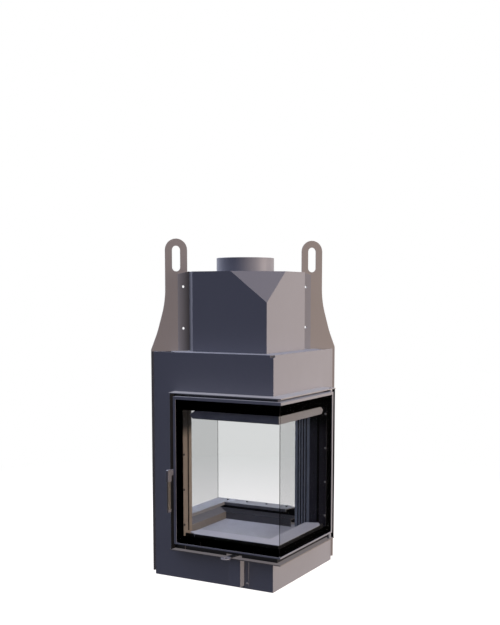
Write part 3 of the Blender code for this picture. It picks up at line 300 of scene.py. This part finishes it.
def sillPaint(name, colour):
    material = surfaceIn(name, colour, "satinPaint")
    tree = material.node_tree
    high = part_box("sill_front")[1]
    parts = absolutePlace(tree)
    reach = addNode(tree, "ShaderNodeMath", {"operation": "MAXIMUM", 0: parts["X"], 1: parts["Y"]})
    outer = addNode(tree, "ShaderNodeMath", {"operation": "GREATER_THAN", 0: reach.outputs[0],
                                             1: high[0] - sillDrop["behindEdge"]})
    below = addNode(tree, "ShaderNodeMath", {"operation": "LESS_THAN", 0: parts["Z"],
                                             1: high[2] - sillDrop["belowTop"]})
    both = addNode(tree, "ShaderNodeMath",
                   {"operation": "MULTIPLY", 0: outer.outputs[0], 1: below.outputs[0]})
    tint = addNode(tree, "ShaderNodeMix", {"data_type": "RGBA", 0: both.outputs[0],
                                           6: linear(colour), 7: linear(sillDrop["paintedShade"])})
    paintWith(material, tint.outputs[2])
    return material


# The lifting plates: satin paint on the ears above the deck, another colour on the legs; the
# colours carry painted light and shade
def platePaint(name, legColour, earColour):
    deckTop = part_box("deck_plate")[1][2]
    return surfaceByHeight(name, earColour, "satinPaint", deckTop, legColour, earColour)


# Painted shade that darkens the upper third of the fire chamber, over a hex colour or an output
chamberShade = {"start": 0.494, "full": 0.535, "colour": "0c0c0d", "onJambs": 0.98, "onLining": 0.5}


def shadeUpwards(material, cleanColour, share):
    tree = material.node_tree
    place = addNode(tree, "ShaderNodeTexCoord").outputs["Object"]
    parts = addNode(tree, "ShaderNodeSeparateXYZ", {0: place}).outputs
    paintedShade = addNode(tree, "ShaderNodeMapRange", {
        "Value": parts["Z"], "From Min": chamberShade["start"],
        "From Max": chamberShade["full"], "To Max": share})
    clean = linear(cleanColour) if isinstance(cleanColour, str) else cleanColour
    tint = addNode(tree, "ShaderNodeMix", {"data_type": "RGBA", 0: paintedShade.outputs["Result"],
                                           6: clean, 7: linear(chamberShade["colour"])})
    paintWith(material, tint.outputs[2])


# The jambs: paint that has seen the fire, warm brown-grey at the latch as painted warm light,
# darker by the hinges as painted shade
def litAndShadedJambPaint(name, colour):
    material = surfaceIn(name, colour, "firedPaint")
    shadeUpwards(material, colour, chamberShade["onJambs"])
    return material


# Cast lining plate: dull blue-grey, with painted shade in its grooves behind the diagonal face
liningPlate = {
    "base": "565960", "face": "5c6068", "grooveShade": "060608",
    "shadeStart": 0.0002, "shadeFull": 0.0012,        # behind the face
    "diagonal": (0.7071, 0.7071, 0),
}


def sandCastLining():
    material = surfaceIn("sandCastLining", liningPlate["base"], "sandCast")
    tree = material.node_tree
    plate = cadNodes["post_lining_right"].data
    face = min(v.co.x + v.co.y for v in plate.vertices) / math.sqrt(2)
    place = addNode(tree, "ShaderNodeTexCoord").outputs["Object"]
    along = addNode(tree, "ShaderNodeVectorMath",
                    {"operation": "DOT_PRODUCT", 0: place, 1: liningPlate["diagonal"]})
    behind = addNode(tree, "ShaderNodeMath", {"operation": "ABSOLUTE", 0: along.outputs["Value"]})
    paintedShade = addNode(tree, "ShaderNodeMapRange", {
        "Value": behind.outputs[0], "From Min": face + liningPlate["shadeStart"],
        "From Max": face + liningPlate["shadeFull"]})
    tint = addNode(tree, "ShaderNodeMix", {
        "data_type": "RGBA", 0: paintedShade.outputs["Result"],
        6: linear(liningPlate["face"]), 7: linear(liningPlate["grooveShade"])})
    shadeUpwards(material, tint.outputs[2], chamberShade["onLining"])
    return material


# The door handles: a bare steel lever, and a grip whose dark sleeve ends above a steel cap
handle = {"steel": "5a585b", "sleeve": "4a4640", "capHeight": 0.009}


def darkGripCoat():
    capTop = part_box("front_handle_grip")[0][2] + handle["capHeight"]
    return surfaceByHeight("darkGripCoat", handle["sleeve"], "gripSleeve", capTop,
                           handle["steel"], handle["sleeve"])


# Pressed vermiculite: pale brown board with lighter and darker flakes
flakes = {"board": "a5967a", "dark": "8b7c62", "light": "bcae92"}


def pressedVermiculite():
    material = surfaceIn("pressedVermiculite", flakes["board"], "pressedBoard")
    tree = material.node_tree
    grain = tree.nodes["grain"].outputs["Fac"]
    tint = addNode(tree, "ShaderNodeMix", {"data_type": "RGBA", 0: grain,
                                           6: linear(flakes["dark"]), 7: linear(flakes["light"])})
    paintWith(material, tint.outputs[2])
    return material


# The air lever: painted light makes its ring lighter, and a painted shadow of the door makes the
# arm behind it dark
leverRing = {"centre": (0.0937, -0.3009, 0), "reach": 0.0180, "ringLight": "858389", "arm": "1e1e20"}
zincColour = "77777b"


def leverSteelWithPaintedLight():
    material = surfaceIn("leverSteelWithPaintedLight", zincColour, "zincPlate")
    tree = material.node_tree
    away = distanceOnPlan(tree, leverRing["centre"])
    onArm = addNode(tree, "ShaderNodeMath",
                    {"operation": "GREATER_THAN", 0: away, 1: leverRing["reach"]})
    tint = addNode(tree, "ShaderNodeMix", {"data_type": "RGBA", 0: onArm.outputs[0],
                                           6: linear(leverRing["ringLight"]),
                                           7: linear(leverRing["arm"])})
    paintWith(material, tint.outputs[2])
    return material


# Clear glass-ceramic pane, drawn and ceramised: a trace of grey, sharp reflections.
# The low IOR stands for its anti-reflection coat: the print behind it stays deep black.
# Lamps shine through it, so that the hearth behind it is lit as behind a real pane.
# The short pane's grey is deeper, as it is mostly looked through at a steep angle.
paneGlass = {"ior": 1.012, "lampLight": "eef0f0", "wideTint": "e9eaea", "sideTint": "c9caca"}


def ceramicGlass(name, tint):
    material = newMaterial(name, tint, roughness=0.0)
    tree = material.node_tree
    shader = tree.nodes["Principled BSDF"]
    shader.inputs["Transmission Weight"].default_value = 1.0
    shader.inputs["IOR"].default_value = paneGlass["ior"]
    path = addNode(tree, "ShaderNodeLightPath").outputs
    clear = addNode(tree, "ShaderNodeBsdfTransparent", {"Color": linear(paneGlass["lampLight"])})
    mixed = addNode(tree, "ShaderNodeMixShader",
                    {0: path["Is Shadow Ray"], 1: shader.outputs[0], 2: clear.outputs[0]})
    tree.links.new(mixed.outputs[0], tree.nodes["Material Output"].inputs["Surface"])
    return material


finishes = {
    # Plain sheet inside and out, and the door frames
    "grey_steel": surfaceIn("satinGreyPaint", satinGrey, "satinPaint"),
    "kerb_paint": kerbPaint(),
    # The front sill's lighter grey and the rear sill's darker grey are painted light and shade
    "sill_paint": sillPaint("sillPaint", "8f8f93"),
    "rear_sill": sillPaint("rearSillPaint", "6f7072"),
    "hood_paint": hoodPaint(),
    "upper_rim": upperRimPaint(),
    "rim_upright": uprightPaint(),
    "lower_rim": lowerRimPaint(),
    # Base plate and the baffle's rails
    "dark_steel": surfaceIn("mattDarkPaint", "0d0d0f", "mattPaint"),
    "cast_lining": sandCastLining(),
    "vermiculite": pressedVermiculite(),
    # Pins, bushes, pivots, rod, damper and bright screws
    "zinc_steel": surfaceIn("zincPlatedSteel", zincColour, "zincPlate"),
    "lever_steel": leverSteelWithPaintedLight(),
    # Dark rope behind the panes
    "rope_seal": surfaceIn("braidedRope", "2b2b2f", "braid"),
    "door_glass": ceramicGlass("clearCeramicGlass", paneGlass["wideTint"]),
    "side_glass": ceramicGlass("steepCeramicGlass", paneGlass["sideTint"]),
    # Black ceramic print fired on the inside of the glass: deep black without shine
    "glass_print": newMaterial("firedPrint", "020202", roughness=0.60, specular=0.0),
    # The ears are painted lighter and warmer as painted light. The left plate's leg is dark as
    # painted shade, the right one's nearly in its ear's colour
    "left_plate": platePaint("shadedLegPlatePaint", "3c3d42", "8b8682"),
    "right_plate": platePaint("evenPlatePaint", "7d7875", "837e79"),
    # The latch jambs' warm brown is painted warm light, the hinge jambs' darker grey is painted
    # shade
    "warm_lit_jamb": litAndShadedJambPaint("litAndShadedJambPaint", "6e665d"),
    "shaded_jamb": litAndShadedJambPaint("shadedJambPaint", "33323a"),
    # Levers of the door handles, lighter than the paint
    "handle_steel": surfaceIn("brushedHandleSteel", handle["steel"], "brushedSteel"),
    "grip_coat": darkGripCoat(),
    "screw_steel": surfaceIn("blackenedScrewSteel", "101012", "blackenedSteel"),
    # Beads between the panes, and black strips of painted shade in the jambs' joints
    "joint_cement": surfaceIn("blackJointCement", "0c0c0c", "cement"),
}
print("finishes made:", len(finishes))


# Pieces
def addPiece(name, mesh, body, finish):
    mesh.materials.clear()
    mesh.materials.append(finishes[finish])
    piece = bpy.data.objects.new(name, mesh)
    bpy.context.scene.collection.objects.link(piece)
    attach(piece, body)
    return piece


def meshOf(bm, name):
    mesh = bpy.data.meshes.new(name)
    bm.to_mesh(mesh)
    bm.free()
    return mesh


# Folded or cut sheet and turned pieces keep their form and get real, slightly broken edges
brokenEdges = {
    "usual": 0.0005,
    "casing_front": 0.0007, "casing_rear": 0.0007,
    "hood_front": 0.0007, "hood_rear": 0.0007,
    "smoke_baffle": 0.0015,
    "post_lining_left": 0.0010, "post_lining_right": 0.0010,
    "front_door_seal": 0.0, "rear_door_seal": 0.0,      # round already
}
dressing = {
    "weld": 0.00002,
    "flatWithin": math.radians(0.5),
    "bevelSteps": 2,
    "bevelFrom": math.radians(30),
    "sharpFrom": math.radians(40),
}

# Nodes whose finish differs from that of their slot
ownFinish = {
    "hood_front": "hood_paint",
    "jamb_front_latch": "warm_lit_jamb", "jamb_rear_latch": "warm_lit_jamb",
    "jamb_front_hinge": "shaded_jamb", "jamb_rear_hinge": "shaded_jamb",
    "front_door_side_glass": "side_glass", "rear_door_side_glass": "side_glass",
    "lifting_plate_left": "left_plate", "lifting_plate_right": "right_plate",
    "kerb_front": "kerb_paint", "kerb_rear": "kerb_paint",
    "sill_front": "sill_paint", "sill_rear": "rear_sill",
    "surround_top_front": "upper_rim", "surround_top_rear": "upper_rim",
    "surround_bottom_front": "lower_rim", "surround_bottom_rear": "lower_rim",
    "surround_latch_side_front": "rim_upright", "surround_latch_side_rear": "rim_upright",
    "surround_hinge_side_front": "rim_upright", "surround_hinge_side_rear": "rim_upright",
    "air_lever": "lever_steel",
}


def breakEdges(piece, width):
    bevel = piece.modifiers.new("softEdges", "BEVEL")
    bevel.width = width
    bevel.segments = dressing["bevelSteps"]
    bevel.limit_method = "ANGLE"
    bevel.angle_limit = dressing["bevelFrom"]
    bevel.harden_normals = True


def dressNode(node, width):
    source = cadNodes[node].data
    plain = bpy.data.meshes.new("plain")        # the node's points and faces, nothing else
    plain.from_pydata([v.co[:] for v in source.vertices], [],
                      [p.vertices[:] for p in source.polygons])
    bm = bmesh.new()
    bm.from_mesh(plain)
    bmesh.ops.remove_doubles(bm, verts=bm.verts, dist=dressing["weld"])
    bmesh.ops.dissolve_limit(bm, angle_limit=dressing["flatWithin"],
                             verts=bm.verts, edges=bm.edges)
    mesh = meshOf(bm, node)
    slot = slotOf[node]
    piece = addPiece("finished_" + node, mesh, bodyOf[node], ownFinish.get(node, slot))
    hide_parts(node)
    if "glass" in node:
        return
    mesh.shade_smooth()
    if width:
        breakEdges(piece, width)
    else:
        mesh.set_sharp_from_angle(angle=dressing["sharpFrom"])


for node in sorted(cadNodes):
    dressNode(node, brokenEdges.get(node, brokenEdges["usual"]))
print("sheet and turned pieces dressed")


# What repeats at the rear and on the short arm is the front's wide arm, carried over. The
# short arm is a mirror image, which turns faces inwards, so they are turned out again
def halfTurn(point):
    return (-point[0], -point[1], point[2])


def acrossCorner(point):
    return (-point[1], -point[0], point[2])


def carry(bm, vertices, changes):
    for vertex in vertices:
        for change in changes:
            vertex.co = change(vertex.co)
    bm.normal_update()
    bmesh.ops.recalc_face_normals(bm, faces=bm.faces)


# Black border printed on the inside of each pane, clear along the corner where the panes meet
printBorder = {
    "thickness": 0.00012,
    "offGlass": 0.00004,
    "wideInner": 0.0825,        # inner edge of the upright band, from the centre line
    "sideInner": 0.0750,
    "lowInner": 0.165,
    "highInner": 0.592,
    "edge": 0.0006,             # bare glass round the print
    "cornerEdge": 0.005,        # bare glass where the bands end at the corner
}


def printPane(name, node, inner, changes):
    low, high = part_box("front_door_wide_glass")
    spec = printBorder
    left, right = low[0] + spec["edge"], high[0] - spec["cornerEdge"]
    bottom, top = low[2] + spec["edge"], high[2] - spec["edge"]
    bandLow, bandHigh = spec["lowInner"], spec["highInner"]
    outline = [(left, bottom), (right, bottom), (right, bandLow), (-inner, bandLow),
               (-inner, bandHigh), (right, bandHigh), (right, top), (left, top)]
    nearY = high[1] + spec["offGlass"]
    bm = bmesh.new()
    face = bm.faces.new([bm.verts.new((x, nearY, z)) for x, z in outline])
    made = bmesh.ops.extrude_face_region(bm, geom=[face])
    raised = [g for g in made["geom"] if isinstance(g, bmesh.types.BMVert)]
    bmesh.ops.translate(bm, verts=raised, vec=(0, spec["thickness"], 0))
    carry(bm, bm.verts, changes)
    addPiece(name, meshOf(bm, name), bodyOf[node], "glass_print")


wideInner, sideInner = printBorder["wideInner"], printBorder["sideInner"]
printPane("front_wide_print", "front_door_wide_glass", wideInner, [])
printPane("front_side_print", "front_door_side_glass", sideInner, [acrossCorner])
printPane("rear_wide_print", "rear_door_wide_glass", wideInner, [halfTurn])
printPane("rear_side_print", "rear_door_side_glass", sideInner, [acrossCorner, halfTurn])


def addBar(bm, low, high, changes):
    made = bmesh.ops.create_cube(bm, size=1.0)
    for vertex in made["verts"]:
        vertex.co = [a + (b - a) * (share + 0.5) for a, b, share in zip(low, high, vertex.co)]
    carry(bm, made["verts"], changes)


# Cement bead in the inner corner where the two panes of a door meet
cornerBead = {"width": 0.0013, "endGap": 0.004, "offGlass": 0.00005}


def beadCorner(name, body, changes):
    low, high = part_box("front_door_wide_glass")
    outer = -high[1] - cornerBead["offGlass"]
    inner = outer - cornerBead["width"]
    bottom, top = low[2] + cornerBead["endGap"], high[2] - cornerBead["endGap"]
    bm = bmesh.new()
    addBar(bm, (inner, -outer, bottom), (outer, -inner, top), changes)
    addPiece(name, meshOf(bm, name), body, "joint_cement")


beadCorner("front_corner_bead", "front_door", [])
beadCorner("rear_corner_bead", "rear_door", [halfTurn])
print("prints and beads on the panes made")

# A black strip in the upright joint where a jamb's front plate meets its inner plate: painted
# shade in the joint
jambJointShade = {
    "low": (-0.0862, -0.2525, 0.176),
    "high": (-0.0846, -0.2405, 0.640),      # its face stands just proud of the plate
}


def shadeJambJoints():
    bm = bmesh.new()
    for changes in ([], [acrossCorner], [halfTurn], [acrossCorner, halfTurn]):
        addBar(bm, jambJointShade["low"], jambJointShade["high"], changes)
    addPiece("jamb_joints", meshOf(bm, "jamb_joints"), "unit", "joint_cement")


shadeJambJoints()

# Screws stand in rows: one tree makes a row of socket-head screws between two points.
# The head narrows to the top share of its radius, and a hexagon is sunk into it
screwTree = bpy.data.node_groups.new("screwRow", "GeometryNodeTree")
screwInputs = {"Start": "Vector", "End": "Vector", "Count": "Int", "Facing": "Vector",
               "Head Radius": "Float", "Head Height": "Float", "Finish": "Material"}
screwHead = {"sides": 20, "topShare": 0.78, "hexagonShare": 0.45, "hexagonLift": 0.9}


def buildScrewTree(tree):
    sockets = {}
    for name, kind in screwInputs.items():
        made = tree.interface.new_socket(name=name, in_out="INPUT",
                                         socket_type="NodeSocket" + kind)
        sockets[name] = made.identifier
    tree.interface.new_socket(name="Geometry", in_out="OUTPUT", socket_type="NodeSocketGeometry")
    given = addNode(tree, "NodeGroupInput").outputs
    radius, height = given["Head Radius"], given["Head Height"]
    row = addNode(tree, "GeometryNodeMeshLine",
                  {"mode": "END_POINTS", "Count": given["Count"],
                   "Start Location": given["Start"], 3: given["End"]})
    top = addNode(tree, "ShaderNodeMath",
                  {"operation": "MULTIPLY", 0: radius, 1: screwHead["topShare"]})
    dome = addNode(tree, "GeometryNodeMeshCone",
                   {"Vertices": screwHead["sides"], "Radius Top": top.outputs[0],
                    "Radius Bottom": radius, "Depth": height})
    inner = addNode(tree, "ShaderNodeMath",
                    {"operation": "MULTIPLY", 0: radius, 1: screwHead["hexagonShare"]})
    hexagon = addNode(tree, "GeometryNodeMeshCylinder",
                      {"Vertices": 6, "Radius": inner.outputs[0], "Depth": height})
    lift = addNode(tree, "ShaderNodeMath",
                   {"operation": "MULTIPLY", 0: height, 1: screwHead["hexagonLift"]})
    upwards = addNode(tree, "ShaderNodeCombineXYZ", {"Z": lift.outputs[0]})
    raised = addNode(tree, "GeometryNodeTransform",
                     {"Geometry": hexagon.outputs["Mesh"], "Translation": upwards.outputs[0]})
    head = addNode(tree, "GeometryNodeMeshBoolean",
                   {"operation": "DIFFERENCE", "Mesh 1": dome.outputs["Mesh"],
                    "Mesh 2": raised.outputs[0]})
    turn = addNode(tree, "FunctionNodeAlignRotationToVector",
                   {"axis": "Z", "Vector": given["Facing"]})
    placed = addNode(tree, "GeometryNodeInstanceOnPoints",
                     {"Points": row.outputs[0], "Instance": head.outputs[0],
                      "Rotation": turn.outputs[0]})
    solid = addNode(tree, "GeometryNodeRealizeInstances", {0: placed.outputs[0]})
    painted = addNode(tree, "GeometryNodeSetMaterial",
                      {"Geometry": solid.outputs[0], "Material": given["Finish"]})
    addNode(tree, "NodeGroupOutput", {0: painted.outputs[0]})
    return sockets


screwSockets = buildScrewTree(screwTree)


def screwSet(name, rows, spec):
    bm = bmesh.new()
    for row in rows:
        holder = bpy.data.objects.new("screwHolder", bpy.data.meshes.new("screwHolder"))
        bpy.context.scene.collection.objects.link(holder)
        modifier = holder.modifiers.new("screws", "NODES")
        modifier.node_group = screwTree
        values = {"Start": row["start"], "End": row["end"], "Count": row["count"],
                  "Facing": row["facing"], "Head Radius": spec["radius"],
                  "Head Height": spec["height"], "Finish": finishes[spec["finish"]]}
        for key, value in values.items():
            modifier[screwSockets[key]] = value
        bpy.context.view_layer.update()
        ready = holder.evaluated_get(bpy.context.evaluated_depsgraph_get())
        bm.from_mesh(bpy.data.meshes.new_from_object(ready))
        holder.modifiers.remove(modifier)
        bpy.data.objects.remove(holder)
    addPiece(name, meshOf(bm, name), "unit", spec["finish"])


def carriedRow(row, changes):
    carried = dict(row)
    for change in changes:
        for key in ("start", "end", "facing"):
            carried[key] = change(carried[key])
    return carried


# Jambs: a row on each front plate, dark at the latch and zinc-plated at the hinges, and a row
# on the inner plates of the hinge side
jambScrews = {"radius": 0.0042, "height": 0.0020, "slot": "dark_steel", "finish": "screw_steel"}
hingeScrews = {"radius": 0.0042, "height": 0.0020, "slot": "zinc_steel", "finish": "zinc_steel"}
outerRow = {"start": (-0.0845, -0.2720, 0.200), "end": (-0.0845, -0.2720, 0.560),
            "count": 4, "facing": (1, 0, 0)}
innerRow = {"start": (-0.0893, -0.2255, 0.203), "end": (-0.0893, -0.2255, 0.487),
            "count": 3, "facing": (0.966, -0.258, 0)}
latchRows = [outerRow, carriedRow(outerRow, [halfTurn])]
hingeRows = [carriedRow(row, [acrossCorner]) for row in latchRows]
innerRows = [carriedRow(innerRow, [acrossCorner]),
             carriedRow(innerRow, [acrossCorner, halfTurn])]
screwSet("jamb_screws", latchRows + innerRows, jambScrews)
screwSet("hinge_jamb_screws", hingeRows, hingeScrews)

# Rear sill, and the cover of the air lever's rod
sillScrews = {"radius": 0.0042, "height": 0.0030, "slot": "dark_steel", "finish": "screw_steel"}
sillRow = {"start": (-0.2179, 0.2500, 0.1745), "end": (0.0388, 0.2500, 0.1745),
           "count": 4, "facing": (0, 0, 1)}
screwSet("sill_screws", [sillRow], sillScrews)
coverScrews = {"radius": 0.0036, "height": 0.0020, "slot": "zinc_steel", "finish": "zinc_steel"}
coverRow = {"start": (0.0713, -0.2348, 0.020), "end": (0.1367, -0.2348, 0.020),
            "count": 2, "facing": (0, -1, 0)}
screwSet("cover_screws", [coverRow], coverScrews)
print("screws set")

# Studio: white floor and surroundings in a dim, cool room, with a warm soft light from the
# right and a cool one from the left
studio = {
    "roomColour": "a6acd4",
    "roomStrength": 0.71,
    "seenRoom": "ffffff",
    "floorSize": 40.0,
    "floorPaint": "9c9588",
    "floorNear": 0.79,          # glow of the floor close by, where it keeps the shadow
    "floorFar": 1.0,
    "shadowReach": 1.0,         # from here on the floor's own shade fades into its glow
    "floorEnd": 2.4,
    "floorBounce": "1c1c20",    # what the floor throws back on the object
    "floorDrop": 0.0005,        # how far the floor lies under the object
}


# One where the camera looks straight, off a mirror or through a pane, and nought elsewhere
def seenDirectly(tree):
    path = addNode(tree, "ShaderNodeLightPath").outputs
    straight = addNode(tree, "ShaderNodeMath", {
        "operation": "MAXIMUM", 0: path["Is Camera Ray"], 1: path["Is Glossy Ray"]})
    sharp = addNode(tree, "ShaderNodeMath", {
        "operation": "MAXIMUM", 0: straight.outputs[0], 1: path["Is Transmission Ray"]})
    unscattered = addNode(tree, "ShaderNodeMath", {
        "operation": "LESS_THAN", 0: path["Diffuse Depth"], 1: 0.5})
    return addNode(tree, "ShaderNodeMath", {
        "operation": "MULTIPLY", 0: sharp.outputs[0], 1: unscattered.outputs[0]}).outputs[0]


def lightRoom(spec):
    world = bpy.data.worlds.new("room")
    bpy.context.scene.world = world
    world.use_nodes = True
    tree = world.node_tree
    tree.nodes.clear()
    dim = addNode(tree, "ShaderNodeBackground",
                  {"Color": linear(spec["roomColour"]), "Strength": spec["roomStrength"]})
    white = addNode(tree, "ShaderNodeBackground",
                    {"Color": linear(spec["seenRoom"]), "Strength": 1.0})
    mixed = addNode(tree, "ShaderNodeMixShader",
                    {0: seenDirectly(tree), 1: dim.outputs[0], 2: white.outputs[0]})
    addNode(tree, "ShaderNodeOutputWorld", {"Surface": mixed.outputs[0]})


def layFloor(spec):
    material = newMaterial("paleFloor", spec["floorPaint"], roughness=0.9, specular=0.1)
    tree = material.node_tree
    shader = tree.nodes["Principled BSDF"]
    place = addNode(tree, "ShaderNodeTexCoord").outputs["Object"]
    away = addNode(tree, "ShaderNodeVectorMath", {"operation": "LENGTH", 0: place})
    fade = addNode(tree, "ShaderNodeMapRange", {
        "Value": away.outputs["Value"], "From Min": spec["shadowReach"],
        "From Max": spec["floorEnd"]})
    nearGlow = addNode(tree, "ShaderNodeEmission", {"Strength": spec["floorNear"]})
    near = addNode(tree, "ShaderNodeAddShader", {0: shader.outputs[0], 1: nearGlow.outputs[0]})
    far = addNode(tree, "ShaderNodeEmission", {"Strength": spec["floorFar"]})
    seen = addNode(tree, "ShaderNodeMixShader",
                   {0: fade.outputs["Result"], 1: near.outputs[0], 2: far.outputs[0]})
    bounce = addNode(tree, "ShaderNodeBsdfDiffuse", {"Color": linear(spec["floorBounce"])})
    mixed = addNode(tree, "ShaderNodeMixShader",
                    {0: seenDirectly(tree), 1: bounce.outputs[0], 2: seen.outputs[0]})
    tree.links.new(mixed.outputs[0], tree.nodes["Material Output"].inputs["Surface"])
    half = spec["floorSize"] / 2
    mesh = bpy.data.meshes.new("floor")
    mesh.from_pydata([(-half, -half, 0), (half, -half, 0), (half, half, 0), (-half, half, 0)],
                     [], [(0, 1, 2, 3)])
    mesh.materials.append(material)
    floor = bpy.data.objects.new("floor", mesh)
    floor.location.z = -spec["floorDrop"]
    bpy.context.scene.collection.objects.link(floor)


# The photograph's lights reach into corners that a single lamp leaves in shadow. So the right
# lamp has a twin in its place that throws no shadow, and the left lamp throws none either
rightPlace = {"place": (3.0, 0.70, 1.00), "aim": (0, 0, 0.6), "size": 1.8}
leftPlace = {"place": (-1.9, 0.3, 2.9), "aim": (0, 0, 0.7), "size": 1.4}
lamps = {
    "rightSoftbox": {**rightPlace, "power": 34, "colour": "ffece0", "shadow": True},
    "rightFill": {**rightPlace, "power": 112, "colour": "ffebdd", "shadow": False},
    "leftFill": {**leftPlace, "power": 150, "colour": "dde3fb", "shadow": False},
}


def hangLamp(name, spec):
    data = bpy.data.lights.new(name, "AREA")
    data.shape = "DISK"
    data.size = spec["size"]
    data.energy = spec["power"]
    data.color = linear(spec["colour"])[:3]
    data.use_shadow = spec["shadow"]
    lamp = bpy.data.objects.new(name, data)
    away = Vector(spec["place"]) - Vector(spec["aim"])
    turn = away.to_track_quat("Z", "Y").to_matrix().to_4x4()
    lamp.matrix_world = Matrix.Translation(spec["place"]) @ turn
    bpy.context.scene.collection.objects.link(lamp)


lightRoom(studio)
layFloor(studio)
for lampName, lampSpec in lamps.items():
    hangLamp(lampName, lampSpec)
print("studio lit")
